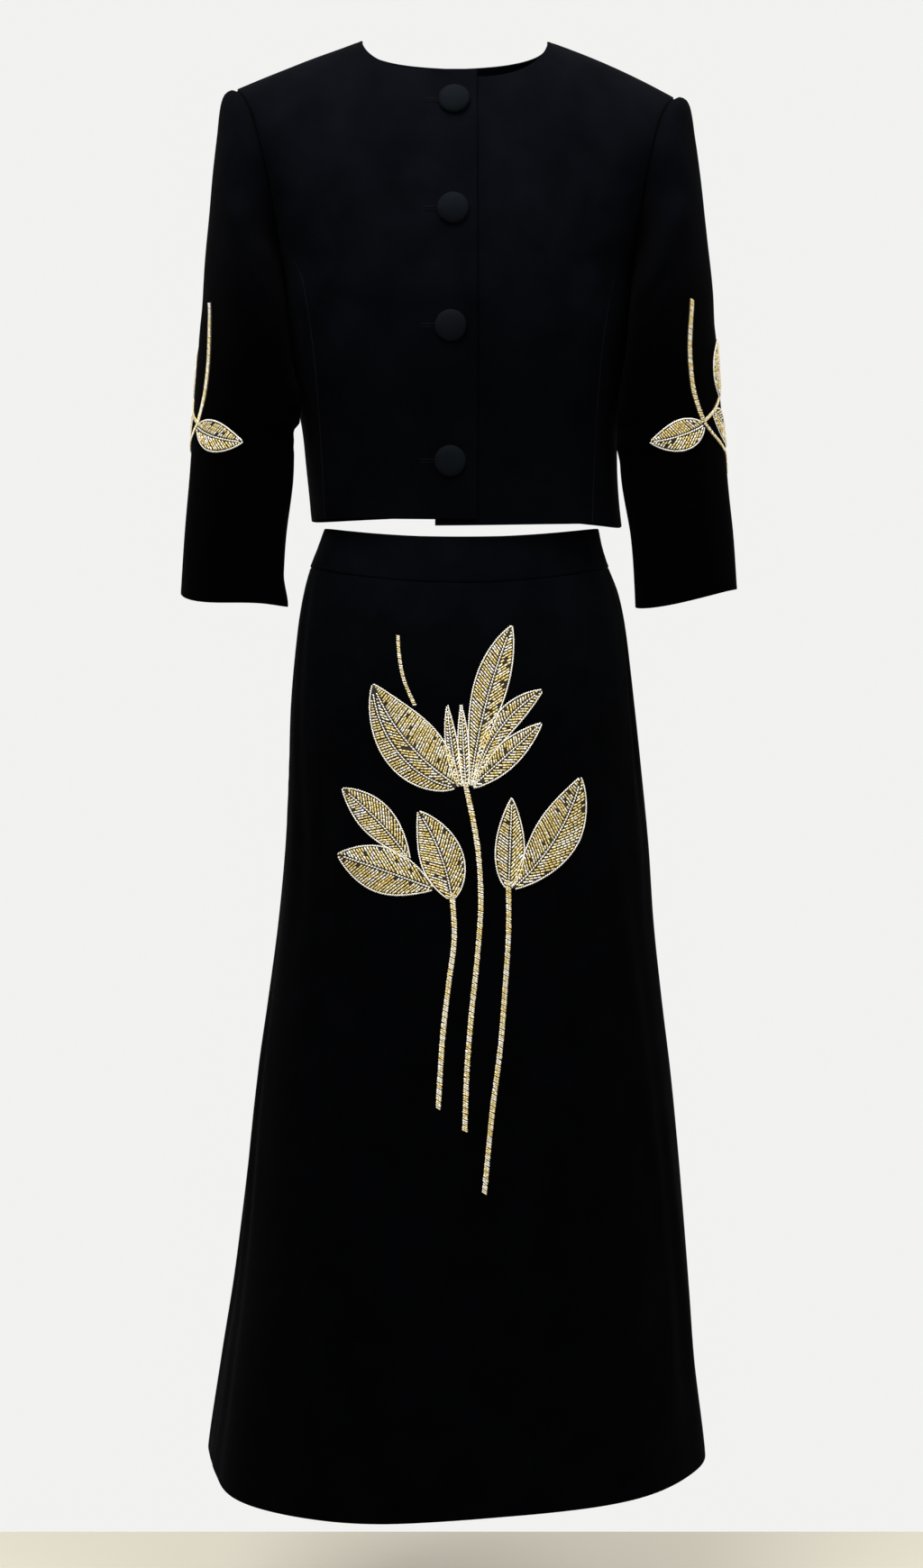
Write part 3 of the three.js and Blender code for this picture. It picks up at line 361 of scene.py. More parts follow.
def stacked(first, second):
    return np.concatenate([first.reshape(-1, 3), second.reshape(-1, 3)])


def ease(value):
    f = np.clip(value, 0, 1)
    return f * f * (3 - 2 * f)


def read(rows, column, at):
    """One column of a table, read smoothly at places along its first column."""
    keys = next(iter(rows.values()))
    values = rows[column]
    place = np.clip(at, keys[0], keys[-1])
    i = np.clip(np.searchsorted(keys, place, side="left") - 1, 0, len(keys) - 2)
    before = np.maximum(np.arange(len(keys)) - 1, 0)
    after = np.minimum(np.arange(len(keys)) + 1, len(keys) - 1)
    slopes = (values[after] - values[before]) / (keys[after] - keys[before])
    width = keys[i + 1] - keys[i]
    f = (place - keys[i]) / width
    rise = values[i + 1] - values[i]
    start = slopes[i] * width
    end = slopes[i + 1] * width
    return values[i] + f * (start + f * (3 * rise - 2 * start - end + f * (start + end - 2 * rise)))


def section(angle, power):
    s = np.sin(angle)
    c = np.cos(angle)
    reach = (np.abs(s) ** power + np.abs(c) ** power) ** (-1 / power)
    return s * reach, c * reach


def shoulder_z(x):
    out = np.abs(x - NECK_CENTRE) - NECK_HALF
    curve = SHOULDER_CURVE + SHOULDER_TILT * np.sign(x)
    return NECK_TOP - SHOULDER_SLOPE * out - np.where(out > 0, curve * out * out, 0)


def hem_z(panel, angle):
    sides = np.full(np.shape(angle), HEM_SIDE.get(panel, 0.0))
    if panel == "back":
        sides = np.where(np.asarray(angle) > 0, HEM_SIDE["left"], HEM_SIDE["right"])
    return lerp(HEM_CENTRE[panel], sides, np.sin(angle) ** 2)


def jacket_point(panel, angle, rise):
    """The jacket's surface: rise is -1 at the hem, 0 at the chest and 1 on the shoulder."""
    angle, rise = np.broadcast_arrays(np.asarray(angle, float), np.asarray(rise, float))
    x = np.zeros(angle.shape)
    up = 1 - (1 - rise) ** 2
    low = CHEST_Z + rise * (CHEST_Z - hem_z(panel, angle))
    for _ in range(5):
        z = np.where(rise < 0, low, CHEST_Z + (shoulder_z(x) - CHEST_Z) * up)
        across, forward = section(angle, read(JACKET, "power", z))
        x = read(JACKET, "centre", z) + read(JACKET, "half_width", z) * across
    above = np.clip(np.where(rise < 0, 0, up), 0, 1)
    rounding = np.sqrt(1 - above**SHOULDER_ROUNDING) * np.where(rise > 1, -1, 1)
    if panel == "back":
        y = read(JACKET, "back", z) * forward * rounding
    else:
        y = -read(JACKET, "front", z) * forward * rounding
    return np.stack([x, y, z], -1)


def jacket_place(panel, x, z):
    """Angle and rise of the place that is seen at x and z from straight ahead."""
    power = read(JACKET, "power", z)
    across = (x - read(JACKET, "centre", z)) / read(JACKET, "half_width", z)
    side = np.clip(np.abs(across), 0, 1)
    angle = np.sign(across) * np.arctan2(side, (1 - side**power) ** (1 / power))
    low = (z - CHEST_Z) / (CHEST_Z - hem_z(panel, angle))
    up = np.clip((z - CHEST_Z) / (shoulder_z(x) - CHEST_Z), 0, 1)
    return np.stack([angle, np.where(z < CHEST_Z, low, 1 - np.sqrt(1 - up))], -1)


def armhole_seen(panel, side, turn):
    top = shoulder_z(side * SHOULDER_HALF + ARMHOLE_SHIFT)
    middle = (top + UNDERARM_Z) / 2
    z = middle + (top - middle) * np.cos(turn)
    up = np.clip((z - UNDERARM_Z) / (top - UNDERARM_Z), 0, 1)
    cap = 0 if panel == "back" else ARMHOLE_CAP
    reach = (SHOULDER_HALF - UNDERARM_X - cap) * up**ARMHOLE_CURVE + cap * up**ARMHOLE_CAP_CURVE
    return side * (UNDERARM_X + reach) + ARMHOLE_SHIFT * up, z


def armhole_place(panel, side, turn):
    x, z = armhole_seen(panel, side, turn)
    return jacket_place(panel, x, z)


def princess_place(panel, side, share):
    top_x, top_z = armhole_seen(panel, side, PRINCESS_STEP * ARMHOLE_STEP)
    z = lerp(HEM_SIDE[panel], top_z, share)
    join = ease((share - PRINCESS_JOIN) / (1 - PRINCESS_JOIN))
    x = lerp(read(PRINCESS, "x", z), abs(top_x), join)
    place = jacket_place(panel, side * x, z)
    place[..., 1] = np.where(share < 1e-6, -1, place[..., 1])
    return place


def side_place(panel, side, share, low=-1):
    """Places up the side seam, from low on the scale of rise to the underarm."""
    under = jacket_place(panel, side * UNDERARM_X, UNDERARM_Z)[1]
    return np.stack([np.full(share.shape, side * QUARTER), lerp(low, under, share)], -1)


def signed_power(value, power):
    return np.sign(value) * np.abs(value) ** power


def neck_seen(panel, side, share):
    turn = share * QUARTER
    x = NECK_CENTRE + side * NECK_HALF * signed_power(np.sin(turn), NECK_POWER)
    return x, NECK_TOP - NECK_DEPTH[panel] * np.cos(turn)


def fractions(count, width):
    """Fractions across a panel, close together where its edges are rounded."""
    near = CLOSE_STEPS / width
    middle = np.linspace(near[-1], 1 - near[-1], count)
    return np.concatenate([near[:-1], middle, 1 - near[-2::-1]])


def spread(first, last, high, near, far, u, v):
    """A panel's places, spread between its edges as in the CAD model. The hem runs straight
    from the first angle to the last."""
    along = u[:, None]
    straight = lerp(near[:, None], far[:, None], u[None, :, None])

    def low(f):
        return np.stack([lerp(first, last, f), np.full(f.shape, -1.0)], -1)

    below = low(u) - lerp(low(np.zeros(1)), low(np.ones(1)), along)
    above = high(u) - lerp(high(np.zeros(1)), high(np.ones(1)), along)
    rows = v[:, None, None]
    return straight + below[None] * (1 - rows) + above[None] * rows**TOP_FADE


def front_places(panel, side, edge_x, u, v):
    past = side * (edge_x - NECK_CENTRE) / NECK_HALF
    start = float(np.arcsin(signed_power(past, 1 / NECK_POWER)) / QUARTER)
    edge_top = neck_seen(panel, side, start)[1]
    near = jacket_place(panel, np.full(v.shape, float(edge_x)), lerp(HEM_CENTRE[panel], edge_top, v))
    rows = PRINCESS_ROWS + PRINCESS_STEP
    sewn = princess_place(panel, side, np.clip(v * rows / PRINCESS_ROWS, 0, 1))
    arm = armhole_place(panel, side, np.clip(rows - v * rows, 0, PRINCESS_STEP) * ARMHOLE_STEP)
    far = np.where((v * rows <= PRINCESS_ROWS)[:, None], sewn, arm)

    def high(f):
        x, z = neck_seen(panel, side, lerp(start, 1, np.clip(f / NECK_SHARE, 0, 1)))
        reach = np.clip((f - NECK_SHARE) / (1 - NECK_SHARE), 0, 1)
        out = lerp(NECK_CENTRE + side * NECK_HALF, side * SHOULDER_HALF + ARMHOLE_SHIFT, reach)
        x = np.where(f <= NECK_SHARE, x, out)
        return jacket_place(panel, x, np.where(f <= NECK_SHARE, z, shoulder_z(x)))

    first = jacket_place(panel, edge_x, HEM_CENTRE[panel])[0]
    return spread(first, princess_place(panel, side, 0.0)[0], high, near, far, u, v)


def side_front_places(panel, side, u, v):
    def high(f):
        steps = PRINCESS_STEP + f * (ARMHOLE_STEPS / 2 - PRINCESS_STEP)
        places = armhole_place(panel, side, steps * ARMHOLE_STEP)
        places[..., 0] = np.where(f > 1 - 1e-9, side * QUARTER, places[..., 0])
        return places

    first = princess_place(panel, side, 0.0)[0]
    near, far = princess_place(panel, side, v), side_place(panel, side, v)
    return spread(first, side * QUARTER, high, near, far, u, v)


def back_places(u, v):
    rows = PRINCESS_ROWS + ARMHOLE_STEPS / 2

    def edge(side):
        seam = side_place("back", side, np.clip(v * rows / PRINCESS_ROWS, 0, 1))
        arm = armhole_place("back", side, np.clip((rows - v * rows) * ARMHOLE_STEP, 0, math.pi))
        return np.where((v * rows <= PRINCESS_ROWS)[:, None], seam, arm)

    def high(f):
        gap = 1 - 2 * BACK_SHOULDER_SHARE
        x, z = neck_seen("back", 1, np.clip((f - BACK_SHOULDER_SHARE) / gap * 2 - 1, -1, 1))
        tip = SHOULDER_HALF + ARMHOLE_SHIFT
        right = lerp(ARMHOLE_SHIFT - SHOULDER_HALF, NECK_CENTRE - NECK_HALF, f / BACK_SHOULDER_SHARE)
        left = lerp(NECK_CENTRE + NECK_HALF, tip, 1 - (1 - f) / BACK_SHOULDER_SHARE)
        x = np.where(f < BACK_SHOULDER_SHARE, right, np.where(f > 1 - BACK_SHOULDER_SHARE, left, x))
        return jacket_place("back", x, np.where(back_shoulder(f), shoulder_z(x), z))

    return spread(-QUARTER, QUARTER, high, edge(-1), edge(1), u, v)


def back_shoulder(f):
    return (f < BACK_SHOULDER_SHARE) | (f > 1 - BACK_SHOULDER_SHARE)


def lap_lift(x):
    return (WALL + LAP_GAP) * ease((x - LAP_START) / (LAP_FULL - LAP_START))


def sleeve_ring(turn, row):
    c = np.cos(turn)
    x = (row["outer_x"] + row["inner_x"]) / 2 + c * (row["outer_x"] - row["inner_x"]) / 2
    z = (row["outer_z"] + row["inner_z"]) / 2 + c * (row["outer_z"] - row["inner_z"]) / 2
    return np.stack([x, row["middle_y"] - np.sin(turn) * row["depth"] + c * row["twist"], z], -1)


def sleeve_point(side, turn, run):
    turn, run = np.broadcast_arrays(np.asarray(turn, float), np.asarray(run, float))
    names = list(SLEEVE)[1:]
    point = sleeve_ring(turn, {name: read(SLEEVE, name, run) for name in names})
    first = sleeve_ring(turn, {name: SLEEVE[name][0] for name in names})
    shift = side * ARMHOLE_SHIFT * (1 + np.cos(turn)) / 2
    point[..., 0] += shift * (1 - np.clip(run / SLEEVE_SHIFT_END, 0, 1))
    first[..., 0] += shift
    loops = {}
    for panel in ("back", "left"):
        place = armhole_place(panel, side, turn)
        loop = jacket_point(panel, place[..., 0], place[..., 1])
        seen_x = side * armhole_seen(panel, side, turn)[0]
        loop[..., 0] = np.maximum(side * loop[..., 0] + SLEEVE_SEAM, seen_x)
        loops[panel] = loop
    seam = np.where((np.sin(turn) < 0)[..., None], loops["back"], loops["left"])
    settle = (1 - np.clip(run / SLEEVE_SETTLE, 0, 1)) ** 2
    point = point + (seam - first) * settle[..., None]
    point[..., 0] *= side
    return point


def raw_skirt(z, angle):
    row = {name: read(SKIRT, name, z) for name in list(SKIRT)[1:]}
    across, forward = section(angle, row["power"])
    x = (row["right"] - row["left"]) / 2 * across
    y = -np.where(forward > 0, row["front"], row["back"]) * forward
    turn = np.radians(row["turn"])
    return x * np.cos(turn) - y * np.sin(turn), x * np.sin(turn) + y * np.cos(turn), row


WIDTH_LEVELS = np.linspace(-1295, -400, 1791)
ROUND_ANGLES = np.linspace(0, 2 * math.pi, 181)
width_samples = raw_skirt(WIDTH_LEVELS[:, None], ROUND_ANGLES[None, :])[0]
WIDTH_LOW = width_samples.min(axis=1)
WIDTH_HIGH = width_samples.max(axis=1)


def fold_height(angle, z):
    height = np.zeros(np.shape(angle))
    for at, reach, tall, start in SKIRT_FOLDS:
        off = ((np.degrees(angle) - at + 540) % 360 - 180) / reach
        fall = np.clip((start - z) / (start - SKIRT_HEM), 0, 1)
        height = height + tall * fall * np.exp(-off * off)
    return height


def skirt_point(angle, z):
    angle, z = np.broadcast_arrays(np.asarray(angle, float), np.asarray(z, float))
    x, y, row = raw_skirt(z, angle)
    low = np.interp(z, WIDTH_LEVELS, WIDTH_LOW)
    high = np.interp(z, WIDTH_LEVELS, WIDTH_HIGH)
    x = lerp(row["left"], row["right"], (x - low) / (high - low))
    drawn = np.clip((FOLD_ALLOWANCE_FROM - z) / (FOLD_ALLOWANCE_FROM - SKIRT_HEM), 0, 1)
    height = fold_height(angle, z) - FOLD_ALLOWANCE * drawn
    away = unit(np.stack([x - (row["left"] + row["right"]) / 2, y, np.zeros(z.shape)], -1))
    return np.stack([x, y, z], -1) + away * height[..., None]


def band_edge(edge, angle):
    c = np.cos(angle)
    return lerp(edge["side"], np.where(c > 0, edge["front"], edge["back"]), c * c)


def skirt_surface(angle, share):
    return skirt_point(angle, lerp(band_edge(BAND_BOTTOM, angle), SKIRT_HEM, share))


def band_surface(angle, share):
    return skirt_point(angle, lerp(band_edge(BAND_TOP, angle), band_edge(BAND_BOTTOM, angle), share))


def normals_of(surface, a, b, facing):
    step = 1e-4
    across = surface(a + step, b) - surface(a - step, b)
    along = surface(a, b + step) - surface(a, b - step)
    return facing * unit(np.cross(across, along))


def creased(rows, around, z):
    """Relief of listed creases: a soft uneven trough with a low ridge at each side."""
    relief = np.zeros(np.shape(around))
    for i, (a0, z0, a1, z1, reach, depth) in enumerate(sorted(rows)):
        da, dz = a1 - a0, z1 - z0
        long = math.hypot(da, dz)
        along = ((around - a0) * da + (z - z0) * dz) / long**2
        off = ((around - a0) * dz - (z - z0) * da) / long
        off = off + reach * 0.7 * np.sin(along * 3.1 + i * 1.7) + reach * 0.25 * np.sin(along * 8.3 + i)
        widen = 0.75 + 0.5 * np.clip(along, 0, 1) + 0.2 * np.sin(along * 5.7 + 2 * i)
        t = off / (reach * widen)
        ends = ease((along + 0.18) / 0.4) * ease((1.18 - along) / 0.45)
        uneven = 0.8 + 0.3 * np.sin(along * 6.1 + i * 2.3) + 0.12 * np.sin(along * 17 + i)
        profile = -np.exp(-t * t) + 0.5 * np.exp(-((t - 1.7) ** 2)) + 0.34 * np.exp(-((t + 1.8) ** 2) * 0.8)
        relief = relief + depth * ends * uneven * profile
    return relief


def rippled(around, z, size, height, seed):
    """Slow unevenness of cloth that hangs freely."""
    rng = np.random.default_rng(seed)
    relief = np.zeros(np.shape(around))
    for _ in range(7):
        turn = rng.uniform(-0.9, 0.9)
        length = size * rng.uniform(0.6, 1.7)
        phase = rng.uniform(0, 2 * math.pi)
        place = around * math.cos(turn) + z * math.sin(turn) * 0.6
        bend = 1.3 * np.sin(z / (size * rng.uniform(1.2, 2.4)) + phase)
        relief = relief + np.sin(2 * math.pi * place / length + phase + bend)
    return relief * height / 3


def new_mesh(name, points, faces, uvs=None):
    mesh = bpy.data.meshes.new(name)
    rows = faces.tolist() if hasattr(faces, "tolist") else faces
    mesh.from_pydata((points * MM).tolist(), [], rows)
    mesh.polygons.foreach_set("use_smooth", np.ones(len(rows), bool))
    if uvs is not None:
        layer = mesh.uv_layers.new(name="cloth")
        corners = np.array([corner for row in rows for corner in row])
        layer.data.foreach_set("uv", (uvs[corners] * MM).astype(np.float32).ravel())
    mesh.update()
    piece = bpy.data.objects.new(name, mesh)
    bpy.context.scene.collection.objects.link(piece)
    return piece


def grid_faces(rows, columns, closed, turned):
    i = np.arange(rows - 1)[:, None]
    j = np.arange(columns if closed else columns - 1)[None, :]
    k = (j + 1) % columns
    a, b = i * columns + j, i * columns + k
    c, d = (i + 1) * columns + k, (i + 1) * columns + j
    order = (a, d, c, b) if turned else (a, b, c, d)
    return np.stack(order, -1).reshape(-1, 4)


def wall_faces(rows, columns, closed, turned):
    """Faces of a closed wall: the outer grid comes first, then the inner grid."""
    count = rows * columns
    faces = [grid_faces(rows, columns, closed, turned)]
    faces.append(grid_faces(rows, columns, closed, not turned) + count)
    j = np.arange(columns if closed else columns - 1)
    k = (j + 1) % columns
    for base, flip in ((0, turned), ((rows - 1) * columns, not turned)):
        order = (base + j, base + j + count, base + k + count, base + k)
        faces.append(np.stack(order[::-1] if flip else order, -1))
    if not closed:
        i = np.arange(rows - 1) * columns
        for base, flip in ((0, not turned), (columns - 1, turned)):
            order = (i + base, i + base + count, i + columns + base + count, i + columns + base)
            faces.append(np.stack(order[::-1] if flip else order, -1))
    return np.concatenate(faces)


def run_lengths(points, axis):
    step = np.linalg.norm(np.diff(points, axis=axis), axis=-1)
    total = np.cumsum(step, axis=axis)
    pad = [(1, 0) if k == axis else (0, 0) for k in range(2)]
    return np.pad(total, pad)


def rounded(distance, radius, depth):
    f = np.clip(distance / radius, 0, 1)
    return depth * (1 - np.sqrt(1 - (1 - f) ** 2))


def cloth_piece(name, node, surface, places, facing, folds, relief, cloth, wall=WALL, lift=0.0):
    """A thin closed shell on a surface. Folds gives, for the low, high, near and far edges,
    1 where the edge is a rounded fold and 0 where it is sewn down in a seam. A shell with two
    edges alone closes on itself. Cloth is its material and slot; the slot is not used."""
    a, b = places[..., 0], places[..., 1]
    base = surface(a, b)
    normal = normals_of(surface, a, b, facing)
    down = run_lengths(base, 0)
    over = run_lengths(base, 1)
    nearest = np.full(a.shape, 1e9)
    fold = np.zeros(a.shape)
    for distance, share in zip((down, down[-1:] - down, over, over[:, -1:] - over), folds):
        fold = np.where(distance < nearest, share, fold)
        nearest = np.minimum(nearest, distance)
    rise = rounded(nearest, FOLD_ROUND, wall / 2)
    drop = lerp(rounded(nearest, SEAM_ROUND, SEAM_DEPTH), rise, fold)
    out = lift(base[..., 0]) if callable(lift) else lift
    out = out + relief(a, base[..., 2]) * lerp(EDGE_RELIEF, 1, ease(nearest / RELIEF_EASE))
    near_seam = np.exp(-(((nearest - PUCKER_PLACE) / PUCKER_REACH) ** 2))
    pucker = PUCKER_HEIGHT * (1 - fold) * near_seam
    pucker = pucker * np.sin((down + over * 0.3) / PUCKER_PITCH + 1.5 * np.sin(down / 9))
    outer = base + normal * (out + pucker - drop)[..., None]
    inner = base + normal * (out - wall + fold * rise)[..., None]
    rows, columns = a.shape
    middle = over[:, columns // 2 : columns // 2 + 1]
    uvs = np.stack([over - middle, down], -1).reshape(-1, 2)
    faces = wall_faces(rows, columns, len(folds) == 2, facing < 0)
    piece = new_mesh(name, stacked(outer, inner), faces, np.concatenate([uvs, uvs]))
    return dress_shell(piece, *cloth, node)


def node_tree(name):
    material = bpy.data.materials.new(name)
    material.use_nodes = True
    tree = material.node_tree
    return material, tree, tree.nodes["Principled BSDF"]


def fill(tree, node, inputs):
    """Link each input that is given as a socket, and set any other one."""
    for key, value in inputs.items():
        if isinstance(value, bpy.types.NodeSocket):
            tree.links.new(value, node.inputs[key])
        else:
            node.inputs[key].default_value = value


def add_node(tree, kind, inputs=None, **settings):
    node = tree.nodes.new("ShaderNode" + kind)
    for key, value in settings.items():
        setattr(node, key, value)
    fill(tree, node, inputs or {})
    return node


def math_node(tree, operation, *values):
    return add_node(tree, "Math", dict(enumerate(values)), operation=operation).outputs["Value"]


def noise_node(tree, vector, scale, detail, rough):
    inputs = {"Vector": vector, "Scale": scale, "Detail": detail, "Roughness": rough}
    return add_node(tree, "TexNoise", inputs).outputs["Fac"]


def colour_ramp(tree, factor, *stops):
    ramp = add_node(tree, "ValToRGB", {"Fac": factor})
    for element, (place, colour) in zip(ramp.color_ramp.elements, stops):
        element.position = place
        element.color = (*colour, 1)
    return ramp.outputs["Color"]


def ranged(tree, value, low, high, start=0.3, end=0.7, kind="LINEAR"):
    inputs = {"Value": value, "From Min": start, "From Max": end, "To Min": low, "To Max": high}
    return add_node(tree, "MapRange", inputs, interpolation_type=kind).outputs["Result"]


def bumped(tree, height, strength, distance, before=None):
    inputs = {"Height": height, "Strength": strength, "Distance": distance}
    if before is not None:
        inputs["Normal"] = before
    return add_node(tree, "Bump", inputs).outputs["Normal"]


def crepe_material(name, dark, light, rough, weave, specular, sheen, depth=None):
    """Black crepe: a fine weave on the cloth's own run, with a pebbled crepe grain. Depth gives
    two levels and the share of the upper tone that is left at the lower one: painted shade
    that darkens the cloth towards the bottom, as if the light fell from above."""
    material, tree, shader = node_tree(name)
    coords = add_node(tree, "TexCoord").outputs
    waves = []
    for direction in ("X", "Y"):
        inputs = {"Vector": coords["UV"], "Scale": 700.0, "Distortion": 1.2}
        inputs |= {"Detail": 1.0, "Detail Scale": 0.6}
        settings = {"wave_type": "BANDS", "bands_direction": direction, "wave_profile": "SIN"}
        waves.append(add_node(tree, "TexWave", inputs, **settings).outputs["Fac"])
    grain = noise_node(tree, coords["Object"], 950.0, 3.0, 0.6)
    broad = noise_node(tree, coords["Object"], 26.0, 3.0, 0.55)
    fibre = noise_node(tree, coords["UV"], 2600.0, 1.0, 0.5)
    normal = bumped(tree, math_node(tree, "MULTIPLY", *waves), weave, 0.00016)
    normal = bumped(tree, grain, 0.7, 0.00022, normal)
    normal = bumped(tree, broad, 0.35, 0.0016, normal)
    mixed = math_node(tree, "MULTIPLY_ADD", fibre, 0.35, math_node(tree, "MULTIPLY", broad, 0.65))
    colour = colour_ramp(tree, mixed, (0.34, dark), (0.68, light))
    # Painted shade: below the upper level the tone is scaled down to the given share, standing in for light
    # from above
    if depth is not None:
        low, high, share = depth
        height = add_node(tree, "SeparateXYZ", {"Vector": coords["Object"]}).outputs["Z"]
        level = ranged(tree, height, share, 1.0, low, high, "SMOOTHSTEP")
        painted_shade = add_node(tree, "VectorMath", {}, operation="SCALE")
        fill(tree, painted_shade, {"Vector": colour, "Scale": level})
        colour = painted_shade.outputs["Vector"]
    roughness = ranged(tree, grain, rough - 0.06, rough + 0.06)
    fill(tree, shader, {"Normal": normal, "Base Color": colour, "Roughness": roughness})
    fill(tree, shader, {"Specular IOR Level": specular, "Sheen Weight": sheen, "Sheen Roughness": 0.5})
    return material


def bead_material(name, dark, light, metallic, rough):
    """Glass and metal beads, each a little different in tone, with a soft worn surface."""
    material, tree, shader = node_tree(name)
    place = add_node(tree, "TexCoord").outputs["Object"]
    tone = noise_node(tree, place, 420.0, 1.0, 0.5)
    wear = noise_node(tree, place, 2400.0, 3.0, 0.6)
    colour = colour_ramp(tree, tone, (0.32, dark), (0.68, light))
    roughness = ranged(tree, wear, rough - 0.07, rough + 0.1)
    fill(tree, shader, {"Base Color": colour, "Roughness": roughness, "Metallic": metallic})
    fill(tree, shader, {"Normal": bumped(tree, wear, 0.35, 0.00008)})
    return material


def dress(piece, material, slot, *nodes):
    piece.data.materials.append(material)
    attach(piece, "root")
    if nodes:
        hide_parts(*nodes)
    return piece


def dress_shell(piece, material, slot, *nodes):
    """Turn the faces of a closed shell outwards and dress it."""
    mesh = piece.data
    mesh.calc_loop_triangles()
    tris = np.zeros(len(mesh.loop_triangles) * 3, int)
    mesh.loop_triangles.foreach_get("vertices", tris)
    points = np.zeros(len(mesh.vertices) * 3)
    mesh.vertices.foreach_get("co", points)
    corners = points.reshape(-1, 3)[tris.reshape(-1, 3)]
    volume = np.einsum("ij,ij->i", corners[:, 0], np.cross(corners[:, 1], corners[:, 2])).sum()
    if volume < 0:
        mesh.flip_normals()
    return dress(piece, material, slot, *nodes)


def jacket_relief(angle, z):
    around = angle * JACKET_GIRTH_RADIUS
    relief = rippled(around, z, 70, 0.32, 4)
    for rows in JACKET_CREASES.values():
        relief = relief + creased(rows, around, z)
    return relief


def back_relief(angle, z):
    around = angle * JACKET_GIRTH_RADIUS
    return creased(BACK_CREASES, around, z) + rippled(around, z, 64, 0.4, 9)


def swell(around, z, row):
    at, level, reach, tall, height, fade = row
    wide = ((around - at) / reach) ** 2
    return height * np.exp(-wide) * ease((z - level + tall) / fade) * ease((level + tall - z) / 20)


def sleeve_relief(side):
    girth = 2 * math.pi * SLEEVE_GIRTH_RADIUS

    def relief(turn, z):
        around = ((turn + math.pi) % (2 * math.pi) - math.pi) * SLEEVE_GIRTH_RADIUS
        inner = sum(swell(around, z, row) for row in SLEEVE_SWELLS[side])
        shifted = around + 5 * side
        sway = creased(SLEEVE_CREASES, shifted, z + 6 * side)
        wrap = creased(SLEEVE_CREASES, shifted - np.sign(around) * girth, z)
        calm = ease((172 - np.abs(around)) / 30)
        return inner + sway + wrap + calm * rippled(np.abs(around), z, 46, 0.34, 17 + side)

    return relief


def band_relief(angle, z):
    around = angle * BAND_GIRTH_RADIUS
    return creased(BAND_CREASES, around, z) + rippled(around, z, 40, 0.22, 23)


def skirt_relief(angle, z):
    around = np.degrees(angle) * SKIRT_DEGREE
    relief = rippled(around, z * 0.35, 80, 0.55, 31)
    for turn in (0, 360):
        rows = [
            ((start - turn) * SKIRT_DEGREE, z0, (end - turn) * SKIRT_DEGREE, *rest)
            for start, z0, end, *rest in SKIRT_CREASES
        ]
        relief = relief + creased(rows, around, z)
    return relief


def make_jacket():
    cloth = (JACKET_CLOTH, "jacket_cloth")
    u, v = fractions(62, 150), fractions(118, 400)
    across, along = fractions(18, 50), fractions(72, 240)
    front_folds = (1, np.where(u <= NECK_SHARE, 1.0, 0.0)[None, :], 1, 0)
    for (panel, side), edge_x, lift in zip(SIDES, (FRONT_EDGE, UNDERLAP_EDGE), (lap_lift, 0.0)):
        panels = (
            ("front", front_places(panel, side, edge_x, u, v), front_folds, lift),
            ("side_front", side_front_places(panel, side, across, along), SEWN_FOLDS, 0.0),
        )
        for kind, places, folds, out in panels:
            name = f"{kind}_{panel}"
            surface = partial(jacket_point, panel)
            cloth_piece(name, f"jacket_{name}", surface, places, 1, folds, jacket_relief, cloth, lift=out)
    u, v = fractions(96, 400), fractions(112, 400)
    folds = (1, np.where(back_shoulder(u), 0.0, 1.0)[None, :], 0, 0)
    surface = partial(jacket_point, "back")
    cloth_piece("back", "jacket_back", surface, back_places(u, v), -1, folds, back_relief, cloth)


def hung_sleeve(side, turn, run):
    """The sleeve's surface with its cuff as it hangs."""
    point = sleeve_point(side, turn, run)
    drop, lowest, flare, sway = CUFFS[side]
    lean = np.clip(np.cos(turn - math.radians(lowest)), 0, 1) ** 2
    inner = np.clip(-np.cos(turn), 0, 1) ** 2
    point[..., 2] -= drop * ease((run - CUFF_RUN) / (SLEEVE_RUN - CUFF_RUN)) * lean
    out = sway * ease((run - SWAY_RUN) / (SLEEVE_RUN - SWAY_RUN))
    out = out - flare * ease((run - FLARE_RUN) / (SLEEVE_RUN - FLARE_RUN)) * inner
    point[..., 0] += side * out
    return point


def make_sleeves():
    turns = np.linspace(0, 2 * math.pi, 73)[:-1]
    places = np.stack(np.meshgrid(turns, fractions(124, SLEEVE_RUN) * SLEEVE_RUN), -1)
    # The sleeves wear the darker copy of the cloth, with its painted shade
    cloth = (SHADED_SLEEVE_CLOTH, "jacket_cloth")
    for name, side in SIDES:
        surface, relief = partial(hung_sleeve, side), sleeve_relief(side)
        cloth_piece(f"sleeve_cloth_{name}", f"sleeve_{name}", surface, places, side, (0, 1), relief, cloth)


def make_skirt():
    cloth = (SKIRT_CLOTH, "skirt_cloth")
    for name, start in (("front", -QUARTER), ("back", QUARTER)):
        across = start + fractions(96, 480) * math.pi
        places = np.stack(np.meshgrid(across, fractions(140, 820)), -1)
        names = (f"skirt_cloth_{name}", f"skirt_{name}")
        cloth_piece(*names, skirt_surface, places, -1, (0, 1, 0, 0), skirt_relief, cloth)
        across = start + fractions(96, 390) * math.pi
        places = np.stack(np.meshgrid(across, fractions(12, 38)), -1)
        names = (f"band_{name}", f"waistband_{name}")
        walls = {"wall": BAND_WALL, "lift": BAND_WALL - WALL}
        cloth_piece(*names, band_surface, places, -1, SEWN_FOLDS, band_relief, cloth, **walls)


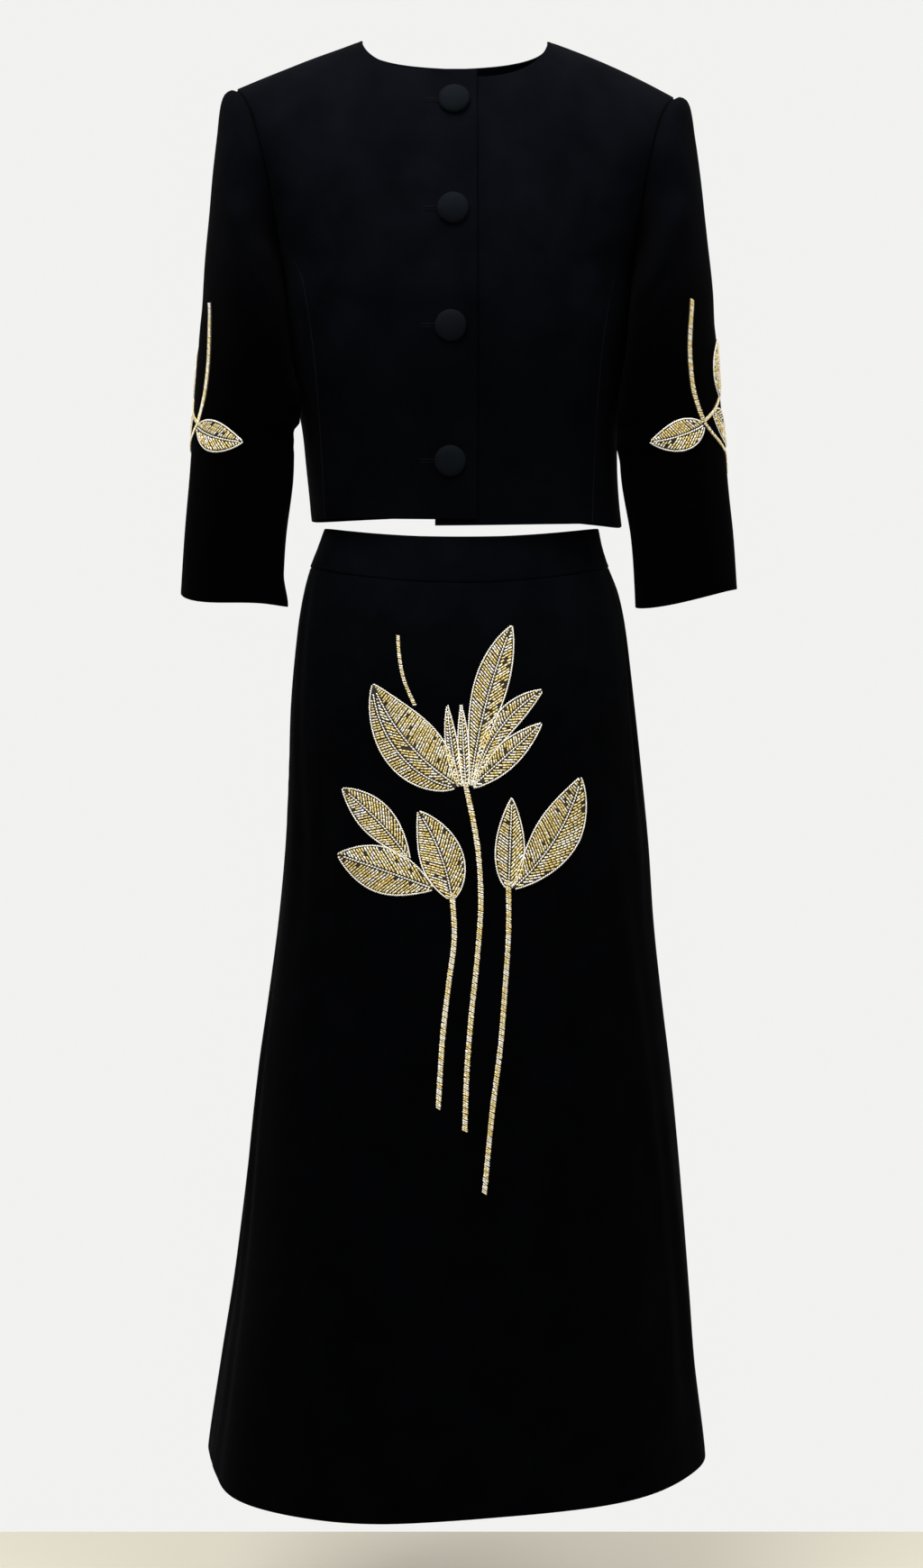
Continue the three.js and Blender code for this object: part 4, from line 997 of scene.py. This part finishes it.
def lookup(points, normals, x0, z0):
    """A patch of cloth, read at any place on it with a height above the cloth."""
    rows, columns = points.shape[:2]

    def place(x, z, height):
        i = np.clip((np.asarray(z, float) - z0) / PATCH_STEP, 0, rows - 1.001)
        j = np.clip((np.asarray(x, float) - x0) / PATCH_STEP, 0, columns - 1.001)
        i0, j0 = i.astype(int), j.astype(int)
        fi, fj = (i - i0)[..., None], (j - j0)[..., None]
        found = []
        for field in (points, normals):
            low = lerp(field[i0, j0], field[i0, j0 + 1], fj)
            found.append(lerp(low, lerp(field[i0 + 1, j0], field[i0 + 1, j0 + 1], fj), fi))
        normal = unit(found[1])
        return found[0] + normal * np.asarray(height)[..., None], normal

    return place


def halved(low, high, short):
    """The place between low and high up to which short holds."""
    for _ in range(24):
        middle = (low + high) / 2
        chosen = short(middle)
        low, high = np.where(chosen, middle, low), np.where(chosen, high, middle)
    return low


def skirt_patch():
    x0, z0 = -126, -1002
    x, z = np.meshgrid(np.arange(x0, 130, PATCH_STEP), np.arange(z0, -486, PATCH_STEP))
    end = np.full(x.shape, 1.45)
    angle = halved(-end, end, lambda middle: skirt_point(middle, z)[..., 0] < x)
    normal = normals_of(skirt_point, angle, z, 1)
    normal *= -np.sign(normal[..., 1:2])
    return lookup(skirt_point(angle, z) + normal * skirt_relief(angle, z)[..., None], normal, x0, z0)


def sleeve_patch(side):
    x0, z0 = -60, -385
    around, z = np.meshgrid(np.arange(x0, 108, PATCH_STEP), np.arange(z0, -195, PATCH_STEP))
    turn = (around + (LEFT_MOTIF_AHEAD if side > 0 else 0)) / SLEEVE_GIRTH_RADIUS
    surface = partial(sleeve_point, side)
    end = np.full(z.shape, float(SLEEVE_RUN))
    run = halved(0 * end, end, lambda middle: surface(turn, middle)[..., 2] > z)
    normal = normals_of(surface, turn, run, side)
    return lookup(surface(turn, run) + normal * sleeve_relief(side)(turn, z)[..., None], normal, x0, z0)


def leaf_length(leaf):
    return math.hypot(leaf[2] - leaf[0], leaf[3] - leaf[1])


def leaf_half(leaf, f):
    full = leaf[5] / 2 * np.sin(np.pi * np.clip(f, 0, 1) ** leaf[6]) ** MOTIF_FULLNESS
    return np.maximum(MOTIF_TIP, MOTIF_BLUNT * (1 - f) + full)


def leaf_spot(leaf, f, q):
    """Flat place on a leaf: f runs from base to tip, q from one edge to the other."""
    base_x, base_z, tip_x, tip_z, bow = leaf[:5]
    dx, dz, long = tip_x - base_x, tip_z - base_z, leaf_length(leaf)

    def spine(g):
        bend = bow * 4 * g * (1 - g)
        return base_x + dx * g - dz / long * bend, base_z + dz * g + dx / long * bend

    x, z = spine(f)
    ahead_x, ahead_z = spine(f + 0.02)
    behind_x, behind_z = spine(f - 0.02)
    run_x, run_z = ahead_x - behind_x, ahead_z - behind_z
    size = np.hypot(run_x, run_z)
    half = leaf_half(leaf, f) * q
    return x - run_z / size * half, z + run_x / size * half


def pad_height(q, lift):
    return lift + lerp(MOTIF_CROWN, MOTIF_EDGE, q * q) - 0.4


def pad_shell(place, x, z, height):
    """A closed pad on the cloth, with its base sunk in it."""
    top = place(x, z, height)[0]
    base = place(x, z, np.full(x.shape, -0.3))[0]
    return stacked(top, base), wall_faces(*x.shape, False, False)


class Beads:
    """Small beads and bugles that gather here and become one joined mesh."""

    def __init__(self):
        self.rows = []

    def add(self, centre, along, normal, length, radius):
        sizes = [np.broadcast_to(value, len(centre))[:, None] for value in (length, radius)]
        self.rows.append(np.concatenate([centre, unit(along), normal, *sizes], axis=1))

    def make(self, name, material, slot):
        rows = np.concatenate(self.rows)
        centre, along, normal = rows[:, 0:3], rows[:, 3:6], rows[:, 6:9]
        across = unit(np.cross(normal, along))
        up = np.cross(along, across)
        points = []
        for reach, wide in BEAD_RINGS:
            middle = centre + along * rows[:, 9:10] * reach
            for angle in np.arange(BEAD_SIDES) * 2 * math.pi / BEAD_SIDES:
                side = across * math.cos(angle) + up * math.sin(angle)
                points.append(middle + side * rows[:, 10:11] * wide)
        points = np.stack(points, axis=1)
        tube = grid_faces(len(BEAD_RINGS), BEAD_SIDES, True, False)
        ring = np.arange(BEAD_SIDES)
        caps = np.array([ring[::-1], ring + BEAD_SIDES * (len(BEAD_RINGS) - 1)])
        offset = np.arange(len(rows))[:, None, None] * points.shape[1]
        faces = (tube[None] + offset).reshape(-1, 4).tolist()
        faces += (caps[None] + offset).reshape(-1, BEAD_SIDES).tolist()
        return dress(new_mesh(name, points.reshape(-1, 3), faces), material, slot)


def resampled(x, z, pitch):
    total = np.concatenate([[0], np.cumsum(np.hypot(np.diff(x), np.diff(z)))])
    marks = np.arange(pitch / 2, total[-1], pitch)
    return np.interp(marks, total, x), np.interp(marks, total, z)


def directions(place, x, z, height):
    """Centres, directions and normals along a line of places."""
    centre, normal = place(x, z, height)
    return centre, unit(np.gradient(centre, axis=0)), normal


def turned(along, normal, angle):
    across = np.cross(normal, along)
    c, s = np.cos(angle)[:, None], np.sin(angle)[:, None]
    return along * c + across * s


rng = np.random.default_rng(41)
TONES = {name: Beads() for name in BEAD_TONES}


def share_out(centre, along, normal, length, radius, mix, bias):
    """Give each bead to one of the three tones; bias keeps beads of one strand alike."""
    pick = (bias + rng.normal(0, 0.2, len(centre))) % 1
    low = 0.0
    for tone, share in zip(TONES, mix):
        chosen = (pick >= low) & (pick < low + share + 1e-9)
        low += share
        if chosen.any():
            values = [np.broadcast_to(value, len(centre))[chosen] for value in (length, radius)]
            TONES[tone].add(centre[chosen], along[chosen], normal[chosen], *values)


def leaf_pad(leaf, place, lift):
    """The stitched ground of a leaf: a low crowned pad on the cloth, ridged like satin stitch."""
    f = np.linspace(0.004, 0.996, 60)[:, None]
    q = np.sin(np.linspace(-1, 1, 17) * QUARTER)[None, :]
    f, q = np.broadcast_arrays(f, q)
    x, z = leaf_spot(leaf, f, q * 0.97)
    ridge = 0.07 * np.sin(f * leaf_length(leaf) * 2.2 - np.abs(q) * leaf_half(leaf, f) * 1.9)
    return pad_shell(place, x, z, pad_height(q, lift) + ridge)


def zones_of(second):
    """Fields of a leaf: side, inner and outer line, and the angle that its strands make."""
    if second is None:
        return [(-1, 0, 1, 40), (1, 0, 1, 56)]
    side = 1 if second > 0 else -1
    return [(-side, 0, 1, 68), (side, 0, abs(second), 40), (side, abs(second), 1, 72)]


def fill_zone(leaf, place, lift, zone):
    side, low, high, slope = zone
    long, widest = leaf_length(leaf), leaf[5] / 2
    slope = math.radians(slope)
    starts = np.arange(-widest / math.tan(slope), long, STRAND_PITCH / math.sin(slope))
    reach = np.arange(0, widest / math.sin(slope) * 1.1, STRAND_STEP)
    s = starts[:, None] + reach[None, :] * math.cos(slope)
    p = reach[None, :] * math.sin(slope) + 0 * s
    half = leaf_half(leaf, np.clip(s / long, 0.001, 0.999))
    ends = rng.normal(0, 0.22, (len(starts), 2))
    inside = (s > 0.015 * long) & (s < 0.985 * long)
    room = np.minimum(1, half * 0.16)
    inside &= p > low * half + (RIB_ROOM + ends[:, :1]) * room
    inside &= p < high * half - (EDGE_ROOM + ends[:, 1:]) * room
    for k, start in enumerate(starts):
        marks = np.flatnonzero(np.diff(np.concatenate([[0], inside[k].astype(int), [0]])))
        bias, sway = rng.random(), rng.normal(0, 0.16)
        for first, last in zip(marks[::2], marks[1::2]):
            span = (last - first) * STRAND_STEP
            if span < 1.2:
                continue
            count = max(1, int(round(span / rng.uniform(2.9, 4.6))))
            edges = first * STRAND_STEP + np.linspace(0, span, count + 1)
            middle = (edges[:-1] + edges[1:]) / 2
            size = np.maximum(np.diff(edges) - 0.3, 0.7)
            tilt = slope + rng.normal(0, 0.07, count)
            spots = []
            for shift in (-0.4, 0, 0.4):
                along = start + sway + middle * math.cos(slope) + shift * size * np.cos(tilt)
                across = middle * math.sin(slope) + shift * size * np.sin(tilt)
                f = np.clip(along / long, 0.002, 0.998)
                q = np.clip(across / leaf_half(leaf, f), 0, 0.93)
                x, z = leaf_spot(leaf, f, q * side)
                spots.append(place(x, z, pad_height(q, lift) + BEAD_RADIUS * 0.7))
            centre, normal = spots[1]
            kept = rng.random(count) > DROPPED
            centre = centre + normal * rng.normal(0, 0.1, count)[:, None]
            radius = BEAD_RADIUS * rng.uniform(0.86, 1.12, count)
            line = spots[2][0] - spots[0][0]
            share_out(centre[kept], line[kept], normal[kept], size[kept], radius[kept], LEAF_MIX, bias)


def bead_leaf(leaf, place, lift, second):
    for zone in zones_of(second):
        fill_zone(leaf, place, lift, zone)
    ribs = [(q, 2.1, 2.5, RIB_RADIUS, 0.03, 0.93) for q in (0.0, second) if q is not None]
    edges = [(q, 2.3, 2.1, OUTLINE_RADIUS, 0.01, 0.995) for q in (-0.965, 0.965)]
    for q, size, pitch, radius, start, end in ribs[:1] + edges + ribs[1:]:
        f = np.linspace(start, end, 160)
        x, z = resampled(*leaf_spot(leaf, f, np.full(f.shape, q)), pitch)
        height = pad_height(np.full(x.shape, q), lift) + radius * 0.8
        centre, along, normal = directions(place, x, z, height)
        along = turned(along, normal, 0.32 + rng.normal(0, 0.1, len(x)))
        TONES["silver"].add(centre, along, normal, size * rng.uniform(0.9, 1.05, len(x)), radius)


def smooth_line(points):
    """The centripetal curve through a stem's points, as in the CAD model."""
    p = np.array(points, float)
    p = np.concatenate([[2 * p[0] - p[1]], p, [2 * p[-1] - p[-2]]])
    parts = []
    for i in range(1, len(p) - 2):
        pairs = zip(p[i - 1 : i + 2], p[i : i + 3])
        knots = np.cumsum([0.0] + [math.sqrt(math.hypot(*(b - a))) for a, b in pairs])
        u = lerp(knots[1], knots[2], np.linspace(0, 1, 16, endpoint=False)[:, None])
        line = list(p[i - 1 : i + 3])
        for starts, gap in (((0, 1, 2), 1), ((0, 1), 2), ((1,), 1)):
            shares = [(u - knots[k]) / (knots[k + gap] - knots[k]) for k in starts]
            line = [lerp(a, b, share) for a, b, share in zip(line, line[1:], shares)]
        parts.append(line[0])
    parts.append(p[-2:-1])
    return np.concatenate(parts)


def stem_pad(points, place, lift, width):
    line = smooth_line(points)
    ahead = unit(np.gradient(line, axis=0))
    q = np.linspace(-1, 1, 7)
    x = line[:, 0:1] - ahead[:, 1:2] * q * width * 0.42
    z = line[:, 1:2] + ahead[:, 0:1] * q * width * 0.42
    return pad_shell(place, x, z, np.broadcast_to(lift + 0.55 - 0.35 * q * q, x.shape))


def bead_stem(points, place, lift, width):
    x, z = resampled(*smooth_line(points).T, STEM_PITCH)
    centre, along, normal = directions(place, x, z, np.full(x.shape, lift + 0.68))
    order = np.arange(len(x))
    group = order // 3
    bias = rng.random(group.max() + 1)[group]
    across = turned(along, normal, math.radians(66) + rng.normal(0, 0.08, len(x)))
    centre = centre - along * (0.16 * (order % 3 - 1))[:, None]
    size = width * rng.uniform(0.86, 1.04, len(x))
    for shift in (-0.25, 0.25):
        spot = centre + across * (size * shift)[:, None]
        tilt = across + normal * (-0.12 * np.sign(shift))
        share_out(spot, tilt, normal, size * 0.5 - 0.1, BEAD_RADIUS * 0.88, STEM_MIX, bias)


def make_spray(name, node, place, lift, leaves, stems):
    shells = [leaf_pad(leaf, place, lift) for leaf in leaves]
    shells += [stem_pad(line, place, lift, width) for line, width in stems]
    starts = np.cumsum([0] + [len(points) for points, _ in shells])
    faces = np.concatenate([rows + start for (_, rows), start in zip(shells, starts)])
    piece = new_mesh(f"{name}_ground", np.concatenate([points for points, _ in shells]), faces)
    dress_shell(piece, GROUND_THREAD, "beading", node)
    for leaf in leaves:
        bead_leaf(leaf, place, lift, SECOND_RIB if leaf[5] > WIDE_LEAF else None)
    for line, width in stems:
        bead_stem(line, place, lift, width)


def make_motifs():
    skirt = skirt_patch()
    for name, leaves, *stem in SKIRT_SPRAYS:
        make_spray(name, f"skirt_{name}", skirt, MOTIF_LIFT["skirt"], leaves, [stem])
    stems = [(SLEEVE_STEM, STEM_WIDTH), (SLEEVE_CORD, CORD_WIDTH), (SLEEVE_BRANCH, CORD_WIDTH)]
    for name, side in SIDES:
        node = f"sleeve_spray_{name}"
        make_spray(f"sleeve_{name}", node, sleeve_patch(side), MOTIF_LIFT["sleeve"], SLEEVE_LEAVES, stems)
    for tone, beads in TONES.items():
        beads.make(f"{tone}_bugles", bead_material(f"{tone}_beads", *BEAD_TONES[tone]), "beading")


def front_at(x, z):
    """Place and normal on the right front, and its own place there."""
    surface, place = partial(jacket_point, "right"), jacket_place("right", x, z)
    normal = normals_of(surface, *place, 1)
    return surface(*place) + normal * lap_lift(x), normal, place


def tube_faces(rings, sides):
    """Faces of a closed tube: its rings joined, and a flat cap at each end."""
    faces = grid_faces(rings, sides, True, False).tolist()
    return faces + [list(range(sides))[::-1], list(range((rings - 1) * sides, rings * sides))]


def make_buttons():
    rings = [(9.0, 0.35), (11.2, 0.0), (12.6, 0.3), (13.3, 1.0)]
    for angle in np.linspace(0, 1, 15) * QUARTER:
        height = BUTTON_RIM + (BUTTON_HEIGHT - BUTTON_RIM) * math.sin(angle)
        rings.append((BUTTON_RADIUS * math.cos(angle), height))
    rings[-1] = (0.25, BUTTON_HEIGHT)
    theta = np.linspace(0, 2 * math.pi, 73)[:-1]
    circle = np.stack([np.cos(theta), np.sin(theta)], -1)
    for number, (z, x) in enumerate(BUTTONS, start=1):
        point, normal, _ = front_at(x, z)
        right = unit(np.cross(normal, [0.0, 0.0, 1.0]))
        frame = np.stack([right, np.cross(right, normal)])
        points = []
        for k, (radius, height) in enumerate(rings):
            tuck = 0.078 * math.exp(-(((k - 4) / 2.6) ** 2)) * np.sin(17 * theta + number)
            bulge = 0.10 * np.sin(2 * theta + number) * (radius / BUTTON_RADIUS)
            offset = (circle * (radius + tuck)[:, None]) @ frame
            points.append(point + offset + np.outer(height + BUTTON_LIFT + bulge, normal))
        uvs = np.concatenate([circle * radius for radius, _ in rings])
        faces = tube_faces(len(rings), len(theta))
        piece = new_mesh(f"covered_button_{number}", np.concatenate(points), faces, uvs)
        dress_shell(piece, BUTTON_CLOTH, "button_cloth", f"button_{number}")


def make_buttonholes():
    """Worked buttonholes: a dark slit between two rows of fine stitches."""
    stitches, slits = Beads(), Beads()
    for z, x in reversed(BUTTONS):
        spots, normals = [], []
        for mark in np.arange(BUTTONHOLE_PAST, BUTTONHOLE_PAST - BUTTONHOLE_LENGTH, -STITCH_PITCH):
            point, normal, place = front_at(x + mark, z)
            spots.append(point + normal * jacket_relief(place[0], float(z)))
            normals.append(normal)
        spots, normals = np.array(spots), np.array(normals)
        ahead = unit(np.gradient(spots, axis=0))
        across = np.cross(normals, ahead)
        slits.add(spots + normals * 0.02, ahead, normals, 0.9, 0.45)
        for side in (-1, 1):
            stitches.add(spots + across * side * 1.15 + normals * 0.12, across, normals, 1.7, 0.26)
    stitches.make("buttonhole_stitches", BUTTON_CLOTH, "jacket_cloth")
    # The slits are drawn in the sleeves' darker copy of the cloth, with its painted shade
    slits.make("buttonhole_slits", SHADED_SLEEVE_CLOTH, "jacket_cloth")


def seam_tube(name, near, far, normals, slot, thread_and_highlight):
    """The sewn line of a seam: a fine flat tube in the groove between two pieces' edges. Its material is
    the thread's, except on the princess seam, where a lighter crepe paints a highlight.
    """
    along = unit(np.gradient(near + far, axis=0))
    across = unit(np.cross(normals, along))
    swapped = ((far - near) * across).sum(axis=1, keepdims=True) < 0
    across = np.where(swapped, -across, across)
    up = np.cross(along, across)
    rings = []
    for angle in (np.arange(TUBE_SIDES) + 0.5) * 2 * math.pi / TUBE_SIDES:
        centre = far if math.cos(angle) > 0 else near
        rings.append(centre + (across * math.cos(angle) + up * math.sin(angle)) * SEAM_RADIUS)
    points = np.stack(rings, axis=1).reshape(-1, 3)
    return dress_shell(new_mesh(name, points, tube_faces(len(near), TUBE_SIDES)), thread_and_highlight, slot)


def sew(name, surface, places, facing, slot, thread_and_highlight, sunk):
    points = surface(*places.T)
    normal = normals_of(surface, *places.T, facing)
    across = np.cross(normal, unit(np.gradient(points, axis=0))) * 0.5
    middle = points - normal * sunk
    seam_tube(name, middle - across, middle + across, normal, slot, thread_and_highlight)


def armhole_seam(name, side):
    turn = np.linspace(0.02, 2 * math.pi - 0.02, 260)
    run = np.full(turn.shape, 1.0)
    sleeve = partial(sleeve_point, side)
    normal = normals_of(sleeve, turn, run, side)
    rims = []
    for panel, facing in (("back", -1), ("left", 1)):
        angle, rise = armhole_place(panel, side, turn).T
        body = partial(jacket_point, panel)
        out = normals_of(body, angle, np.minimum(rise, 0.995), facing)
        rims.append(body(angle, rise) - out * SEAM_SUNK)
    body_edge = np.where((np.sin(turn) < 0)[:, None], *rims)
    sleeve_edge = sleeve(turn, run) - normal * SEAM_SUNK
    seam_tube(f"armhole_seam_{name}", sleeve_edge, body_edge, normal, *JACKET_THREAD)


def shoulder_seam(name, side, share):
    x = lerp(NECK_CENTRE + side * (NECK_HALF + 1), side * (SHOULDER_HALF - 1) + ARMHOLE_SHIFT, share)
    points = jacket_point(name, *jacket_place(name, x, shoulder_z(x)).T)
    normal = unit(np.cross([0.0, side, 0.0], np.gradient(points, axis=0)))
    rims = [points - normal * SEAM_SUNK + [0, y, 0] for y in (-0.5, 0.5)]
    seam_tube(f"shoulder_seam_{name}", *rims, normal, *JACKET_THREAD)


def make_seams():
    share = np.linspace(0.002, 0.995, 160)
    for name, side in SIDES:
        armhole_seam(name, side)
        front = partial(jacket_point, name)
        place = princess_place(name, side, share)
        # The princess seam's tube is drawn lighter: a painted highlight along the seam
        sew(f"princess_seam_{name}", front, place, 1, "jacket_cloth", PRINCESS_HIGHLIGHT, SEAM_SUNK - 0.2)
        place = side_place(name, side, share, -0.995)
        sew(f"side_seam_{name}", front, place, 1, *JACKET_THREAD, SEAM_SUNK)
        shoulder_seam(name, side, share)
        place = np.stack([np.full(share.shape, side * QUARTER), share], -1)
        sew(f"skirt_side_seam_{name}", skirt_surface, place, -1, *SKIRT_THREAD, SEAM_SUNK)
        sew(f"band_side_seam_{name}", band_surface, place[::4], -1, *SKIRT_THREAD, SEAM_SUNK)
    angle = np.linspace(0.001, 2 * math.pi - 0.001, 400)
    edge = band_edge(BAND_BOTTOM, angle)
    normal = normals_of(skirt_point, angle, edge, 1)
    normal *= np.sign((normal * skirt_point(angle, edge) * [1, 1, 0]).sum(axis=1, keepdims=True))
    rims = [skirt_point(angle, edge + rise) - normal * SEAM_SUNK for rise in (0.5, -0.5)]
    seam_tube("waist_seam", *rims, normal, *SKIRT_THREAD)


def area_light(name, place, target, size, power):
    data = bpy.data.lights.new(name, "AREA")
    data.shape = "RECTANGLE"
    data.size, data.size_y = size
    data.energy = power
    lamp = bpy.data.objects.new(name, data)
    lamp.location = place
    lamp.rotation_euler = (Vector(target) - Vector(place)).to_track_quat("-Z", "Y").to_euler()
    bpy.context.scene.collection.objects.link(lamp)


def make_stage():
    low, high, left, right = FLOOR_FRONT, FLOOR_BACK, -FLOOR_HALF, FLOOR_HALF
    corners = ((left, low), (right, low), (right, high), (left, high))
    points = np.array([(x, y, FLOOR_LEVEL) for x, y in corners], float)
    floor = new_mesh("floor", points, np.array([[0, 1, 2, 3]]))
    material, tree, shader = node_tree("pale_floor")
    place = add_node(tree, "TexCoord").outputs["Object"]
    broad = noise_node(tree, place, 1.6, 3.0, 0.5)
    colour = colour_ramp(tree, broad, (0.3, (0.56, 0.52, 0.425)), (0.7, (0.595, 0.555, 0.46)))
    fill(tree, shader, {"Base Color": colour, "Roughness": 0.6})
    floor.data.materials.append(material)
    world = bpy.data.worlds.new("studio")
    world.use_nodes = True
    tree = world.node_tree
    facing = add_node(tree, "TexCoord").outputs["Generated"]
    depth = add_node(tree, "SeparateXYZ", {"Vector": facing}).outputs["Y"]
    strength = ranged(tree, depth, ROOM_FRONT, 1.0, -0.5, 0.1, "SMOOTHSTEP")
    fill(tree, tree.nodes["Background"], {"Color": (*WALL_COLOUR, 1), "Strength": strength})
    bpy.context.scene.world = world
    bpy.context.scene.view_settings.view_transform = "Standard"
    area_light("key", (-0.6, -1.5, 1.1), (0, 0, -0.4), (1.2, 1.2), 50)
    area_light("top", (0, -0.6, 1.3), (0, -0.5, 0), (1.5, 1.2), 40)
    area_light("fill", (1.8, -2.0, 0.8), (0, 0, -0.5), (1.4, 2.0), 30)


def make_camera():
    data = bpy.data.cameras.new("camera")
    data.sensor_fit = "AUTO"
    data.sensor_width = SENSOR
    data.lens = SENSOR * FOCAL_PIXELS / FRAME_HEIGHT
    camera = bpy.data.objects.new("camera", data)
    camera.location = (0.0033, -2.1, -0.4992)
    camera.rotation_euler = (math.radians(90 - CAMERA_PITCH), 0, 0)
    bpy.context.scene.collection.objects.link(camera)
    bpy.context.scene.camera = camera


# The cut of what shows of each sheet: width, length and flat area, and what it is sewn to
CUTS = {
    "back": (0.430, 0.440, 0.172, []),
    "front_right": (0.225, 0.460, 0.077, ["back"]),
    "front_left": (0.228, 0.460, 0.077, ["back"]),
    "side_front_right": (0.076, 0.300, 0.0166, ["front_right", "back"]),
    "side_front_left": (0.080, 0.300, 0.0180, ["front_left", "back"]),
    "sleeve_cloth_right": (0.325, 0.460, 0.124, ["front_right", "side_front_right", "back"]),
    "sleeve_cloth_left": (0.325, 0.460, 0.124, ["front_left", "side_front_left", "back"]),
    "band_front": (0.381, 0.040, 0.0149, []),
    "band_back": (0.369, 0.038, 0.0140, []),
    "skirt_cloth_front": (0.673, 0.832, 0.432, ["band_front"]),
    "skirt_cloth_back": (0.663, 0.832, 0.432, ["band_back"]),
}
GOES_WITH = {
    "front_right": ["buttonhole_stitches", "buttonhole_slits"],
    "sleeve_cloth_right": ["armhole_seam_right", "sleeve_right_ground"],
    "sleeve_cloth_left": ["armhole_seam_left", "sleeve_left_ground"],
    "skirt_cloth_front": [
        "waist_seam", "spray_centre_ground", "spray_left_ground", "spray_right_ground", "tendril_ground",
    ],
}


def declare_sheets():
    pieces = bpy.data.objects
    for name, (width, length, area, sewn_to) in CUTS.items():
        going = [pieces[other] for other in GOES_WITH.get(name, [])]
        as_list(sewn_to)


# Each cloth: dark and light tone, roughness, weave, specular, sheen, and the painted shade that darkens the
# tone towards the bottom
JACKET_CLOTH = crepe_material(
    "jacket_crepe",
    (0.0008, 0.0010, 0.0017), (0.0019, 0.0023, 0.0035),
    *(0.8, 0.6, 0.007, 0.002, (-0.32, -0.12, 0.5)),
)
# The sleeves' copy of the crepe is painted darker, and its tone falls much further down the sleeve: painted
# shade where the sleeves turn away from the light
SHADED_SLEEVE_CLOTH = crepe_material(
    "sleeve_painted_shade_crepe",
    (0.0008, 0.0009, 0.0014), (0.0018, 0.0020, 0.0030),
    *(0.84, 0.6, 0.004, 0.002, (-0.30, -0.03, 0.12)),
)
SKIRT_CLOTH = crepe_material(
    "skirt_crepe",
    (0.0007, 0.0009, 0.0014), (0.0018, 0.0021, 0.0030),
    *(0.82, 0.6, 0.005, 0.002, (-0.62, -0.42, 0.4)),
)
# A lighter crepe for the princess seam's tube: a painted highlight of the seam's lit edge
PRINCESS_HIGHLIGHT = crepe_material(
    "princess_seam_highlight", (0.0028, 0.0031, 0.0042), (0.0045, 0.005, 0.0064), 0.75, 0.4, 0.01, 0.002
)
BUTTON_CLOTH = crepe_material(
    "button_crepe", (0.0010, 0.0015, 0.0023), (0.0023, 0.0033, 0.0046), 0.66, 0.5, 0.02, 0.004
)
GROUND_THREAD = crepe_material(
    "ground_thread", (0.006, 0.0055, 0.005), (0.03, 0.024, 0.015), 0.7, 0.3, 0.2, 0.006
)
SEAM_THREAD = crepe_material(
    "seam_thread", (0.0002, 0.0002, 0.0003), (0.0006, 0.0006, 0.0008), 0.8, 0.4, 0.01, 0.0
)
JACKET_THREAD = ("jacket_cloth", SEAM_THREAD)
SKIRT_THREAD = ("skirt_cloth", SEAM_THREAD)

make_jacket()
make_sleeves()
make_skirt()
make_motifs()
make_buttons()
make_buttonholes()
make_seams()
declare_sheets()
make_stage()
make_camera()
